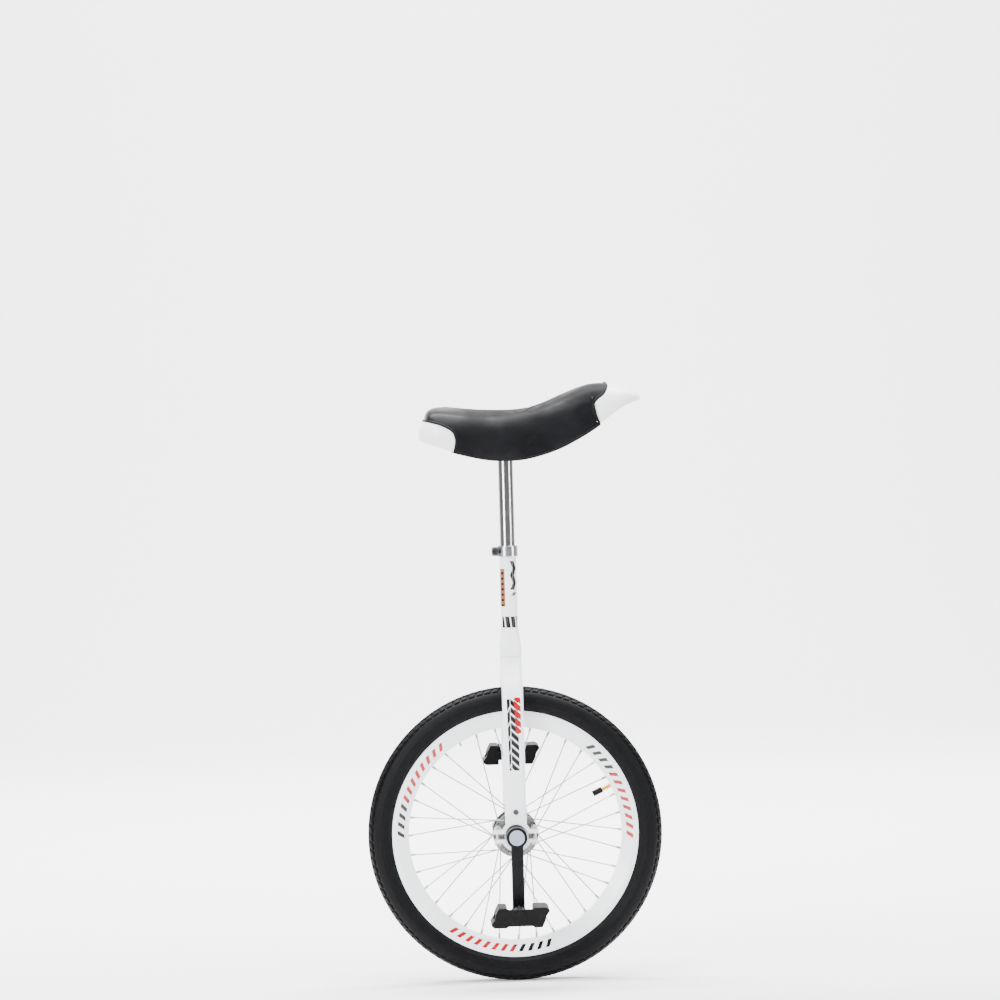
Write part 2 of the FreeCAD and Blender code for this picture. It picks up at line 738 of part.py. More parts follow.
def upright_edges(shape, x, z):
    """Edges along Y that pass through a given (x, z)."""
    found = []
    for edge in shape.Edges:
        centre = edge.CenterOfMass
        if along_y(edge) and abs(abs(centre.x) - x) < 0.01 and abs(centre.z - z) < 0.01:
            found.append(edge)
    return found


def bearing_holder_upper():
    low, high = holder_span()
    ear_low, ear_high = axle_height + ear_upper[0], axle_height + ear_upper[1]
    half = leg_width / 2
    stem = plate_y([(-ear_reach, ear_low), (ear_reach, ear_low), (ear_reach, ear_high), (half, ear_high),
                    (half, leg_bottom), (-half, leg_bottom), (-half, ear_high), (-ear_reach, ear_high)], low, high)
    stem = stem.makeFillet(ear_fillet, upright_edges(stem, half, ear_high))
    stem = stem.makeFillet(2.0, upright_edges(stem, ear_reach, ear_high))
    strap = cross_rod(bearing_outer_radius + holder_wall, low, high, 0, axle_height)
    keep = block((-60, 60), (low, high), (ear_low, leg_bottom))
    return stem.fuse(strap.common(keep)).cut(bearing_seat()).cut(holder_bolt_holes())


def bearing_cap():
    low, high = holder_span()
    ear_low, ear_high = axle_height + ear_lower[0], axle_height + ear_lower[1]
    strap = cross_rod(bearing_outer_radius + holder_wall, low, high, 0, axle_height)
    strap = strap.common(block((-60, 60), (low, high), (axle_height - 60, ear_high)))
    ears = block((-ear_reach, ear_reach), (low, high), (ear_low, ear_high))
    ears = ears.makeFillet(2.5, upright_edges(ears, ear_reach, ear_low))
    return strap.fuse(ears).cut(bearing_seat()).cut(holder_bolt_holes())


def bearing_cap_bolts():
    bolts = []
    top = axle_height + ear_upper[1] + bolt_head_height + 2.5
    under = axle_height + ear_lower[0]
    for x in (-cap_bolt_place, cap_bolt_place):
        shank = rod(cap_bolt_radius, top - under, V(x, bearing_offset, under), Z_AXIS)
        head = hexagon(bolt_head_radius, bolt_head_height, V(x, bearing_offset, under - bolt_head_height), Z_AXIS)
        bolts.append(shank.fuse(head))
    return both_sides(Part.makeCompound(bolts))


def bearing_cap_nuts():
    nuts = []
    seat = axle_height + ear_upper[1]
    for x in (-cap_bolt_place, cap_bolt_place):
        nut = hexagon(bolt_head_radius, bolt_head_height, V(x, bearing_offset, seat), Z_AXIS)
        nuts.append(nut.cut(rod(cap_bolt_radius, bolt_head_height + 2.0, V(x, bearing_offset, seat - 1.0), Z_AXIS)))
    return both_sides(Part.makeCompound(nuts))


def rounded_square(width, depth, corner, z):
    """A wire with four corner arcs, for the crown's sections."""
    x, y = width / 2 - corner, depth / 2 - corner
    slant = corner * math.sqrt(0.5)
    edges = []
    corners = [(1, 1), (-1, 1), (-1, -1), (1, -1)]
    for number, (sx, sy) in enumerate(corners):
        centre = V(sx * x, sy * y, z)
        first, last = V(corner * sx, 0, 0), V(0, corner * sy, 0)
        if number % 2:
            first, last = last, first
        middle = V(slant * sx, slant * sy, 0)
        edges.append(Part.Arc(centre.add(first), centre.add(middle), centre.add(last)).toShape())
    lines = []
    for number, edge in enumerate(edges):
        following = edges[(number + 1) % 4]
        lines += [edge, Part.LineSegment(edge.Vertexes[-1].Point, following.Vertexes[0].Point).toShape()]
    return Part.Wire(lines)


def fork_crown():
    top_width = 2 * (neck_radius + crown_wall)
    foot = 2 * leg_thickness + 4.0
    sections = [rounded_square(leg_width, foot, leg_thickness / 2, crown_bottom),
                rounded_square(leg_width - 1.0, foot - 2.0, leg_thickness / 2 + 2.0, crown_bottom + crown_shoulder),
                rounded_square(top_width + 1.5, top_width + 1.5, neck_radius, crown_top - 8.0),
                rounded_square(top_width, top_width, neck_radius + 0.5, crown_top)]
    body = Part.makeLoft(sections, True, False)
    return body.cut(rod(neck_radius, crown_top, V(0, 0, neck_bottom), Z_AXIS))


def neck_tube():
    length = neck_top - neck_bottom
    bore = post_radius + slip
    tube = rod(neck_radius, length, V(0, 0, neck_bottom), Z_AXIS)
    tube = tube.cut(rod(bore, length + 2.0, V(0, 0, neck_bottom - 1.0), Z_AXIS))
    half = neck_slot_width / 2
    slot = block((-2 * neck_radius, -neck_radius / 2), (-half, half), (neck_top - neck_slot_length, neck_top + 1))
    relief = rod(neck_slot_width, neck_radius, V(-1.5 * neck_radius, 0, neck_top - neck_slot_length), X_AXIS)
    return tube.cut(slot).cut(relief)


# Seat clamp

def collar_span():
    top = neck_top + collar_lip + gap
    return top - collar_height, top


def collar_bolt_height():
    low, high = collar_span()
    return (low + high) / 2


def clamp_collar():
    low, high = collar_span()
    body = rod(collar_radius, high - low, V(0, 0, low), Z_AXIS)
    body = body.makeFillet(1.0, [body.Edges[0], body.Edges[2]])
    ear_half = collar_slit / 2 + collar_ear_thickness
    middle = collar_bolt_height()
    half = collar_ear_height / 2
    ears = block((-collar_ear_reach, -neck_radius), (-ear_half, ear_half), (middle - half, middle + half))
    ears = ears.makeFillet(3.0, upright_edges(ears, collar_ear_reach, middle - half)
                           + upright_edges(ears, collar_ear_reach, middle + half))
    body = body.fuse(ears)
    body = body.cut(rod(neck_radius + slip, neck_top + gap - low, V(0, 0, low), Z_AXIS))
    body = body.cut(rod(post_radius + gap, collar_height + 2.0, V(0, 0, low - 1.0), Z_AXIS))
    half_slit = collar_slit / 2
    body = body.cut(block((-2 * collar_radius, 0), (-half_slit, half_slit), (low - 1.0, high + 1.0)))
    bolt_hole = cross_rod(collar_bolt_radius + bolt_play, -ear_half - 1, ear_half + 1, -collar_bolt_place, middle)
    return body.cut(bolt_hole)


def clamp_bolt():
    ear_half = collar_slit / 2 + collar_ear_thickness
    middle = collar_bolt_height()
    shank = cross_rod(collar_bolt_radius, -ear_half, ear_half + 4.0, -collar_bolt_place, middle)
    head = cross_rod(collar_bolt_head, -ear_half - collar_bolt_head, -ear_half, -collar_bolt_place, middle)
    head = head.makeFillet(1.0, [head.Edges[2]])
    socket = hexagon(2.9, 3.5, V(-collar_bolt_place, -ear_half - collar_bolt_head - 0.5, middle), Y_AXIS)
    return shank.fuse(head).cut(socket)


def clamp_nut():
    ear_half = collar_slit / 2 + collar_ear_thickness
    middle = collar_bolt_height()
    nut = hexagon(collar_bolt_head, 3.5, V(-collar_bolt_place, ear_half, middle), Y_AXIS)
    return nut.cut(cross_rod(collar_bolt_radius, ear_half - 1.0, ear_half + 5.0, -collar_bolt_place, middle))


# Saddle

def smooth(points):
    """A smooth curve through (x, height) points."""
    curve = Part.BSplineCurve()
    curve.interpolate([V(x, 0, z) for x, z in points])
    return curve


def height_at(points, x):
    """Height of the smooth curve through the points, at x."""
    curve = smooth(points)
    low, high = curve.FirstParameter, curve.LastParameter
    for _ in range(40):
        middle = (low + high) / 2
        if curve.value(middle).x < x:
            low = middle
        else:
            high = middle
    return curve.value(low).z


def saddle_section(x, inset, floor_drop):
    """A cross-section: upright sides that lean in, a domed top, and a foot that may reach further down."""
    half = height_at(saddle_plan, x)
    low = skirt_bottom + height_at(saddle_belly, x)
    rise = skirt_bottom + height_at(saddle_crown, x) - inset - low
    side = [(0.97, 0.0), (1.0, 0.3), (0.97, 0.58), (0.85, 0.83), (0.5, 0.97)]
    flank = [(half * width - inset, low + rise * height) for width, height in side]
    points = [V(x, y, z) for y, z in flank] + [V(x, 0, low + rise)] + [V(x, -y, z) for y, z in reversed(flank)]
    dome = Part.BSplineCurve()
    dome.interpolate(points)
    foot = [points[-1], points[0]]
    if floor_drop:
        drop = V(0, 0, -floor_drop)
        foot = [points[-1], points[-1].add(drop), points[0].add(drop), points[0]]
    lines = [Part.LineSegment(a, b).toShape() for a, b in zip(foot, foot[1:])]
    return Part.Wire([dome.toShape()] + lines)


def saddle_form(inset, floor_drop):
    """The outside of the whole saddle, or the same form set in by a wall and open below."""
    rear, front = saddle_plan[0][0] + inset, saddle_plan[-1][0] - inset
    stations = [rear] + [x for x, _ in saddle_plan[1:-1]] + [front]
    return Part.makeLoft([saddle_section(x, inset, floor_drop) for x in stations], True, False)


def side_prism(edge, far_x):
    """Everything to one side of an outline (forward, up), through the saddle's whole width."""
    points = [V(x, 0, skirt_bottom + z) for x, z in edge]
    curve = Part.BSplineCurve()
    curve.interpolate(points)
    low, high = skirt_bottom - 60.0, skirt_bottom + 200.0
    corners = [points[-1], V(points[-1].x, 0, low), V(far_x, 0, low), V(far_x, 0, high),
               V(points[0].x, 0, high), points[0]]
    edges = [curve.toShape()]
    for a, b in zip(corners, corners[1:]):
        if a.sub(b).Length > 0.01:
            edges.append(Part.LineSegment(a, b).toShape())
    face = Part.Face(Part.Wire(edges))
    width = 2 * max(y for _, y in saddle_plan)
    prism = face.extrude(V(0, 2 * width, 0))
    prism.translate(V(0, -width, 0))
    return prism


def belly_slab(depth_low, depth_high, x_start, x_end, half_width):
    """A plate that follows the saddle's underside between two heights above it."""
    lower = smooth([(x, skirt_bottom + z + depth_low) for x, z in saddle_belly])
    upper = smooth([(x, skirt_bottom + z + depth_high) for x, z in saddle_belly])
    corners = [curve.value(end) for curve, end in ((lower, lower.LastParameter), (upper, upper.LastParameter),
                                                   (upper, upper.FirstParameter), (lower, lower.FirstParameter))]
    edges = [lower.toShape(), Part.LineSegment(corners[0], corners[1]).toShape(),
             upper.toShape(), Part.LineSegment(corners[2], corners[3]).toShape()]
    slab = Part.Face(Part.Wire(Part.sortEdges(edges)[0])).extrude(V(0, 2 * half_width, 0))
    slab.translate(V(0, -half_width, 0))
    tall = (skirt_bottom - 200.0, skirt_bottom + 400.0)
    return slab.common(block((x_start, x_end), (-half_width - 1, half_width + 1), tall))


def rear_zone():
    return side_prism(cover_rear_edge, -220.0)


def front_zone():
    return side_prism(cover_front_edge, 300.0)


def shell_wall():
    return saddle_form(0.0, 0.0).cut(saddle_form(saddle_wall, 30.0))


def grown(zone, step):
    """A zone moved along X, to leave a gap between neighbours."""
    moved = zone.copy()
    moved.translate(V(step, 0, 0))
    return moved


def saddle_cover(wall):
    return wall.cut(rear_zone()).cut(front_zone())


def rear_bumper(wall):
    return wall.common(grown(rear_zone(), -gap)).cut(bumper_screw_holes())


def front_bumper(wall):
    return wall.common(grown(front_zone(), gap)).cut(bumper_screw_holes())


def saddle_base():
    ends = saddle_plan[0][0] + 3 * saddle_wall, saddle_plan[-1][0] - 12.0
    width = max(y for _, y in saddle_plan)
    slab = belly_slab(skirt_inside, skirt_inside + base_thickness, ends[0], ends[1], width)
    slab = slab.common(saddle_form(saddle_wall + gap, 30.0))
    return slab.cut(saddle_bolt_holes()).cut(bumper_screw_holes())


def saddle_foam():
    ends = saddle_plan[0][0] - 10.0, saddle_plan[-1][0] + 10.0
    width = max(y for _, y in saddle_plan)
    inner = saddle_form(saddle_wall + gap, 30.0)
    lower = belly_slab(-80.0, skirt_inside + base_thickness + foam_lift, ends[0], ends[1], width)
    return inner.cut(lower).cut(grown(rear_zone(), gap)).cut(grown(front_zone(), -gap))


def saddle_bolt_places():
    return [(x, y) for x in (-saddle_bolt_x, saddle_bolt_x) for y in (-saddle_bolt_y, saddle_bolt_y)]


def belly_top(x):
    """Underside of the base above a given x."""
    return skirt_bottom + height_at(saddle_belly, x) + skirt_inside


def saddle_bolt_holes():
    holes = [rod(saddle_bolt_radius + bolt_play, 60.0, V(x, y, belly_top(x) - 20.0), Z_AXIS)
             for x, y in saddle_bolt_places()]
    return Part.makeCompound(holes)


def saddle_bracket():
    half = bracket_length / 2
    plate = belly_slab(skirt_inside - bracket_thickness, skirt_inside, -half, half, bracket_width / 2)
    return plate.cut(saddle_bolt_holes())


def saddle_bolts():
    bolts = []
    for x, y in saddle_bolt_places():
        top = belly_top(x) + base_thickness + slope_room
        shank_length = base_thickness + bracket_thickness + 8.0
        head = rod(2 * saddle_bolt_radius, 1.8, V(x, y, top), Z_AXIS)
        bolts.append(rod(saddle_bolt_radius, shank_length, V(x, y, top - shank_length), Z_AXIS).fuse(head))
    return Part.makeCompound(bolts)


def saddle_nuts():
    nuts = []
    for x, y in saddle_bolt_places():
        seat = belly_top(x) - bracket_thickness - slope_room
        nut = hexagon(bolt_head_radius, bolt_head_height, V(x, y, seat - bolt_head_height), Z_AXIS)
        nuts.append(nut.cut(rod(saddle_bolt_radius, 10.0, V(x, y, seat - 8.0), Z_AXIS)))
    return Part.makeCompound(nuts)


def seat_post():
    tall = post_length + 20.0
    tube = rod(post_radius, tall, V(0, 0, post_bottom), Z_AXIS)
    tube = tube.cut(rod(post_radius - post_wall, tall + 2.0, V(0, 0, post_bottom - 1.0), Z_AXIS))
    above = belly_slab(skirt_inside - bracket_thickness, 120.0, -60.0, 60.0, 60.0)
    return tube.cut(above)


def bumper_screw_places():
    """Head seat and direction of each bumper screw: two at the rear, two at the front, into the base's edge."""
    places = []
    for x in (bumper_screws_rear, bumper_screws_front):
        seat = height_at(saddle_plan, x) - bumper_screw_head_height
        height = belly_top(x) + base_thickness / 2
        for side in (-1, 1):
            places.append((V(x, side * seat, height), V(0, side, 0)))
    return places


def bumper_screw_holes():
    holes = []
    for seat, outward in bumper_screw_places():
        holes.append(rod(bumper_screw_radius + bolt_play, 14.0, seat.sub(outward * 14.0), outward))
        holes.append(rod(bumper_screw_head + bolt_play, 10.0, seat, outward))
    return Part.makeCompound(holes)


def bumper_screws():
    screws = []
    for seat, outward in bumper_screw_places():
        shank = rod(bumper_screw_radius, 13.0, seat.sub(outward * 13.0), outward)
        head = rod(bumper_screw_head, bumper_screw_head_height, seat, outward)
        screws.append(shank.fuse(head))
    return Part.makeCompound(screws)


def turned_up(shape):
    """The left crank and its pedal point up: half a turn about the axle."""
    turned = shape.copy()
    turned.rotate(V(0, 0, axle_height), Y_AXIS, 180)
    return turned


def make_wheel():
    save("tyre", tyre())
    save("inner_tube", inner_tube())
    save("rim_tape", rim_tape())
    save("rim", rim())
    save("valve_stem", valve_stem())
    save("valve_cap", valve_cap())
    save("spokes_right", spokes(RIGHT))
    save("spokes_left", spokes(LEFT))
    save("spoke_nipples", nipples())
    save("hub_shell", hub_shell())
    save("axle", axle())
    save("axle_spacers", axle_spacers())
    save("bearing_inner_races", inner_races())


def make_bearings():
    save("bearing_outer_races", outer_races())
    save("bearing_shields", bearing_shields())
    for name, side in (("right", RIGHT), ("left", LEFT)):
        save("bearing_balls_" + name, on_side(bearing_balls(), side))
        save("bearing_cage_" + name, on_side(bearing_cage(), side))


def make_drive():
    down, up = axle_height - crank_length, axle_height + crank_length
    save("crank_right", on_side(crank(), RIGHT))
    save("crank_left", turned_up(crank()))
    save("crank_bolts", both_sides(crank_bolt()))
    save("crank_dust_caps", both_sides(crank_dust_cap()))
    nuts = [on_side(pedal_nut(down), RIGHT), pedal_nut(up)]
    save("pedal_nuts", Part.makeCompound(nuts))
    for name, side, height in (("right", RIGHT, down), ("left", LEFT, up)):
        save("pedal_spindle_" + name, on_side(pedal_spindle(height), side))
        save("pedal_body_" + name, on_side(pedal_body(height), side))
        save("pedal_bushings_" + name, on_side(pedal_bushings(height), side))
        save("pedal_reflectors_" + name, on_side(pedal_reflectors(height), side))
        save("pedal_end_cap_" + name, on_side(pedal_end_cap(height), side))


def make_frame():
    save("neck_tube", neck_tube())
    save("fork_crown", fork_crown())
    for name, side in (("right", RIGHT), ("left", LEFT)):
        save("fork_leg_" + name, on_side(fork_leg(), side))
        save("bearing_holder_" + name, on_side(bearing_holder_upper(), side))
        save("bearing_cap_" + name, on_side(bearing_cap(), side))
    save("bearing_cap_bolts", bearing_cap_bolts())
    save("bearing_cap_nuts", bearing_cap_nuts())
    save("leg_screws", leg_screws())
    save("clamp_collar", clamp_collar())
    save("clamp_bolt", clamp_bolt())
    save("clamp_nut", clamp_nut())


def make_seat():
    wall = shell_wall()
    save("seat_post", seat_post())
    save("saddle_bracket", saddle_bracket())
    save("saddle_bolts", saddle_bolts())
    save("saddle_nuts", saddle_nuts())
    save("saddle_base", saddle_base())
    save("saddle_foam", saddle_foam())
    save("saddle_cover", saddle_cover(wall))
    save("front_bumper", front_bumper(wall))
    save("rear_bumper", rear_bumper(wall))
    save("bumper_screws", bumper_screws())


os.makedirs("parts", exist_ok=True)
make_wheel()
make_bearings()
make_drive()
make_frame()
make_seat()
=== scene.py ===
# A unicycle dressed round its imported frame. Metres, +X forward, +Z up, right side at -Y.
import math

import bmesh
import bpy
import numpy as np
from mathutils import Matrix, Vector


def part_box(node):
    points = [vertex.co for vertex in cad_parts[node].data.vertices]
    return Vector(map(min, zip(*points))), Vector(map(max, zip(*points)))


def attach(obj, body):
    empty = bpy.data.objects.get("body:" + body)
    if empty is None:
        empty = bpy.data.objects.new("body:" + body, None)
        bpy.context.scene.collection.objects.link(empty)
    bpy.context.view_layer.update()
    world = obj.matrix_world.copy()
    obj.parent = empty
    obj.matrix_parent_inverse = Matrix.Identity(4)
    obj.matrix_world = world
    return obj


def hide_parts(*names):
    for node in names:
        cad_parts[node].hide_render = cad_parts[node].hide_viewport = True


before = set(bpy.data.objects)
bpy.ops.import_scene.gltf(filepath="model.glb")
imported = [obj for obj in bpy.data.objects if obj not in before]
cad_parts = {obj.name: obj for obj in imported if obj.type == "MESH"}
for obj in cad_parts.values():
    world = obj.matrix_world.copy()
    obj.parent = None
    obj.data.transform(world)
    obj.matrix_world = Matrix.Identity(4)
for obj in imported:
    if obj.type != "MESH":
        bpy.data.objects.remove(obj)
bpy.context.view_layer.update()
mm = 0.001
print("frame loaded with", len(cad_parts), "nodes")


# Materials: sockets that take part in plain arithmetic

class Wire:
    def __init__(self, finish, socket):
        self.finish = finish
        self.socket = socket


def operator(operation, swapped=False):
    def apply(first, second):
        pair = (second, first) if swapped else (first, second)
        return first.finish.maths(operation, *pair)
    return apply


for name, operation in (("add", "ADD"), ("sub", "SUBTRACT"), ("mul", "MULTIPLY"), ("truediv", "DIVIDE")):
    setattr(Wire, f"__{name}__", operator(operation))
    setattr(Wire, f"__r{name}__", operator(operation, swapped=True))
setattr(Wire, "__lt__", operator("LESS_THAN"))
setattr(Wire, "__gt__", operator("GREATER_THAN"))


class Finish:
    def __init__(self, name, **shaderValues):
        self.material = bpy.data.materials.new(name)
        self.material.use_nodes = True
        self.tree = self.material.node_tree
        self.shader = self.tree.nodes["Principled BSDF"]
        self.plug(self.shader, {key.replace("_", " "): value for key, value in shaderValues.items()})

    def plug(self, node, values):
        for key, value in values.items():
            if isinstance(value, Wire):
                self.tree.links.new(value.socket, node.inputs[key])
            else:
                node.inputs[key].default_value = value

    def node(self, kind, settings=None, values=None, output=0):
        made = self.tree.nodes.new(kind)
        for key, value in (settings or {}).items():
            setattr(made, key, value)
        self.plug(made, values or {})
        return Wire(self, made.outputs[output])

    def maths(self, operation, *values):
        return self.node("ShaderNodeMath", {"operation": operation}, dict(enumerate(values)))

    def spot(self):
        return self.node("ShaderNodeTexCoord", output=3)

    def axes(self):
        split = self.node("ShaderNodeSeparateXYZ", None, {0: self.spot()}).socket.node
        return [Wire(self, socket) for socket in split.outputs]

    def stretched(self, scale):
        return self.node("ShaderNodeVectorMath", {"operation": "MULTIPLY"}, {0: self.spot(), 1: scale})

    def noise(self, scale, detail=3.0, stretch=(1, 1, 1), roughness=0.5):
        return self.node("ShaderNodeTexNoise", None, {"Vector": self.stretched(stretch), "Scale": scale,
                                                      "Detail": detail, "Roughness": roughness})

    def cells(self, scale):
        return self.node("ShaderNodeTexVoronoi", None, {"Vector": self.spot(), "Scale": scale})

    def between(self, value, low, high):
        return self.node("ShaderNodeMapRange", {"interpolation_type": "SMOOTHSTEP"},
                         {"Value": value, "From Min": low, "From Max": high})

    def inside(self, value, low, high):
        return (value > low) * (value < high)

    def tint(self, factor, plain, other):
        colours = [value if isinstance(value, Wire) else (*value, 1.0) for value in (plain, other)]
        return self.node("ShaderNodeMix", {"data_type": "RGBA"},
                         {0: factor, 6: colours[0], 7: colours[1]}, output=2)

    def bump(self, height, depth, strength):
        return self.node("ShaderNodeBump", None, {"Height": height, "Distance": depth, "Strength": strength})

    def wear(self, base=None, roughness=None, normal=None, **others):
        chosen = {"Base Color": base, "Roughness": roughness, "Normal": normal}
        self.plug(self.shader, {key: value for key, value in chosen.items() if value is not None})
        self.plug(self.shader, {key.replace("_", " "): value for key, value in others.items()})
        return self.material


paintShades = {"white": (0.84, 0.86, 0.89), "dusty": (0.66, 0.67, 0.68), "ink": (0.004, 0.004, 0.005),
               "red": (0.34, 0.001, 0.005), "grey": (0.10, 0.10, 0.11), "copper": (0.25, 0.085, 0.03)}


def paintedSteel(name, decals=None):
    # gloss white enamel: faint orange peel, a little dust in patches, ink laid under the lacquer
    paint = Finish(name, Coat_Weight=0.35, Coat_Roughness=0.08, Specular_IOR_Level=0.35)
    x, y, z = paint.axes()
    dust = paint.between(paint.noise(38, 5), 0.52, 0.72) * 0.22
    base = paint.tint(dust, paintShades["white"], paintShades["dusty"])
    if decals:
        base = decals(paint, base, x, y, z)
    peel = paint.noise(520, 2)
    return paint.wear(base, 0.2 + dust * 0.5 + peel * 0.05, paint.bump(peel, 0.00012, 0.25))


legDecal = {"low": 0.361, "high": 0.482, "rear": -0.0085, "front": 0.0125, "bars": 9.0, "slant": 70.0}


def legInk(paint, base, x, y, z):
    # a ladder of slanted bars down the leg, a dark rail behind it and a red flash at the top
    along = (z - legDecal["low"]) / (legDecal["high"] - legDecal["low"])
    bar = paint.maths("FRACT", along * legDecal["bars"] + x * legDecal["slant"])
    band = paint.inside(along, 0.0, 1.0)
    ladder = band * paint.inside(x, legDecal["rear"] + 0.004, legDecal["front"] - 0.004)
    outline = ladder * (bar < 0.78)
    rail = band * paint.inside(x, legDecal["rear"] - along * 0.002, legDecal["rear"] + 0.0032)
    flash = paint.inside(along, 0.52, 1.02) * paint.inside(x, 0.0055 - along * 0.004, 0.0128)
    base = paint.tint(outline, base, paintShades["grey"])
    base = paint.tint(ladder * paint.inside(bar, 0.12, 0.62), base, paintShades["ink"])
    base = paint.tint(rail * (paint.maths("FRACT", along * 5.0 - x * 90.0) < 0.86), base, paintShades["ink"])
    return paint.tint(flash * paint.inside(bar, 0.2, 0.95), base, paintShades["red"])


neckDecal = {"label": (0.636, 0.700), "mark": (0.664, 0.713), "dash": (0.654, 0.660), "band": (0.600, 0.619)}


def neckInk(paint, base, x, y, z):
    # a copper label down the rear, two curved strokes in front and a ring of blocks above the crown
    turn = paint.maths("ARCTAN2", y, x) * (180.0 / math.pi)
    low, high = neckDecal["label"]
    label = paint.inside(z, low, high) * paint.inside(turn, -176.0, -118.0)
    dark = paint.maths("FRACT", (z - low) * 110.0) < 0.42
    base = paint.tint(label, base, paintShades["copper"])
    base = paint.tint(label * dark * paint.inside(turn, -168.0, -128.0), base, paintShades["ink"])
    low, high = neckDecal["mark"]
    half = (high - low) / 2
    sway = paint.maths("ABSOLUTE", paint.maths("FRACT", (z - low) / half) - 0.5) * 40.0
    stroke = paint.inside(z, low, high) * paint.inside(turn + sway, -62.0, -30.0)
    base = paint.tint(stroke, base, paintShades["ink"])
    dash = paint.inside(z, *neckDecal["dash"]) * paint.inside(turn - (z - 0.657) * 2500.0, -70.0, -38.0)
    base = paint.tint(dash, base, paintShades["grey"])
    blocks = paint.maths("FRACT", turn / 40.0 + (z - 0.61) * 12.0) < 0.78
    ring = paint.inside(z, *neckDecal["band"]) * paint.inside(turn, -150.0, -30.0)
    return paint.tint(ring * blocks, base, paintShades["ink"])


rimDecal = {"starts": (39.7, 161.8, 268.5), "ink": 20.0, "end": 54.0, "pitch": 4.5,
            "low": 0.1885, "high": 0.2003, "slant": 41.25}


def rimInk(paint, base, x, y, z):
    # three stickers of slanted bars round each face, a black run and then a red one
    drop = z - axleHeight
    radius = paint.maths("SQRT", x * x + drop * drop)
    turn = paint.maths("ARCTAN2", x, drop) * (180.0 / math.pi)
    face = paint.inside(radius, rimDecal["low"], rimDecal["high"]) * (paint.maths("ABSOLUTE", y) > 0.006)
    for start in rimDecal["starts"]:
        run = paint.maths("FLOORED_MODULO", turn - start, 360.0)
        slope = (radius - rimDecal["low"]) * rimDecal["slant"]
        bars = face * paint.inside(paint.maths("FRACT", run / rimDecal["pitch"] - slope), 0.14, 0.60)
        redRun = paint.inside(run, rimDecal["ink"], rimDecal["end"])
        base = paint.tint(bars * (run < rimDecal["ink"]), base, paintShades["ink"])
        base = paint.tint(bars * redRun, base, paintShades["red"])
    return base


def metal(name, bright, dull, roughness, grain, stretch=(1, 1, 1)):
    # bare or plated metal: fine drawn grain, smudges that dull it, a darker bloom in patches
    steel = Finish(name, Metallic=1.0)
    lines = steel.noise(grain, 4, stretch, 0.65)
    smudge = steel.between(steel.noise(60, 4), 0.45, 0.75)
    base = steel.tint(smudge * 0.6 + lines * 0.25, bright, dull)
    return steel.wear(base, roughness + smudge * 0.12 + lines * 0.06, steel.bump(lines, 0.00004, 0.3))


def moulded(name, colour, worn, roughness, pebble, depth, **shaderValues):
    # moulded plastic or rubber: fine pebble from the mould, scuffs that pale it
    plastic = Finish(name, **shaderValues)
    grain = plastic.noise(pebble, 2)
    scuff = plastic.between(plastic.noise(90, 6, roughness=0.7), 0.56, 0.74)
    base = plastic.tint(scuff * 0.55, colour, worn)
    return plastic.wear(base, roughness + scuff * 0.15 + grain * 0.08, plastic.bump(grain, depth, 0.5))


def tyreRubber():
    # sidewalls with fine moulded rings, tread a little paler where the road has rubbed it
    rubber = Finish("tyreRubber", Specular_IOR_Level=0.1)
    x, _, z = rubber.axes()
    drop = z - axleHeight
    radius = rubber.maths("SQRT", x * x + drop * drop)
    road = rubber.between(radius, 0.2465, 0.2496)
    dust = rubber.between(rubber.noise(55, 6, roughness=0.65), 0.48, 0.75)
    base = rubber.tint(dust * 0.25 + road * 0.3, (0.0016, 0.0017, 0.0022), (0.0070, 0.0070, 0.0078))
    rings = rubber.maths("SINE", radius * 5200.0) * rubber.between(radius, 0.244, 0.238)
    grain = rubber.noise(900, 3)
    return rubber.wear(base, 0.46 + dust * 0.16 + road * 0.12, rubber.bump(rings * 0.5 + grain, 0.00018, 0.6))


def leatherette():
    # black vinyl: small closed grain, soft creases, polished in broad patches
    vinyl = Finish("leatherette", Specular_IOR_Level=0.1, Coat_Roughness=0.3)
    grain = vinyl.cells(620)
    pores = vinyl.noise(1700, 2)
    crease = vinyl.between(vinyl.noise(26, 4, (1, 1, 2.4), 0.6), 0.44, 0.58)
    polish = vinyl.between(vinyl.noise(12, 3), 0.42, 0.66)
    base = vinyl.tint(polish * 0.5 + crease * 0.2, (0.0014, 0.0015, 0.0022), (0.0040, 0.0042, 0.0055))
    height = grain * 0.6 + pores * 0.25 + crease * 0.5
    return vinyl.wear(base, 0.50 - polish * 0.12 + grain * 0.1, vinyl.bump(height, 0.00022, 0.6),
                      Coat_Weight=polish * 0.10)


def amberLens():
    # clear amber over a quilt of small prisms
    lens = Finish("amberLens", IOR=1.49, Coat_Weight=0.8, Coat_Roughness=0.04)
    _, y, z = lens.axes()
    rowsAcross = lens.maths("ABSOLUTE", lens.maths("SINE", y * 1300.0))
    rowsUp = lens.maths("ABSOLUTE", lens.maths("SINE", z * 1300.0))
    prisms = rowsAcross * rowsUp
    shade = lens.noise(160, 3)
    base = lens.tint(prisms * 0.7 + shade * 0.3, (0.20, 0.028, 0.004), (0.62, 0.12, 0.012))
    return lens.wear(base, 0.12 + shade * 0.12, lens.bump(prisms, 0.0004, 0.7))


def openFoam():
    foam = Finish("openFoam")
    pores = foam.cells(750)
    base = foam.tint(pores, (0.30, 0.26, 0.18), (0.62, 0.56, 0.42))
    return foam.wear(base, 0.85 + pores * 0.1, foam.bump(pores, 0.0006, 0.8))


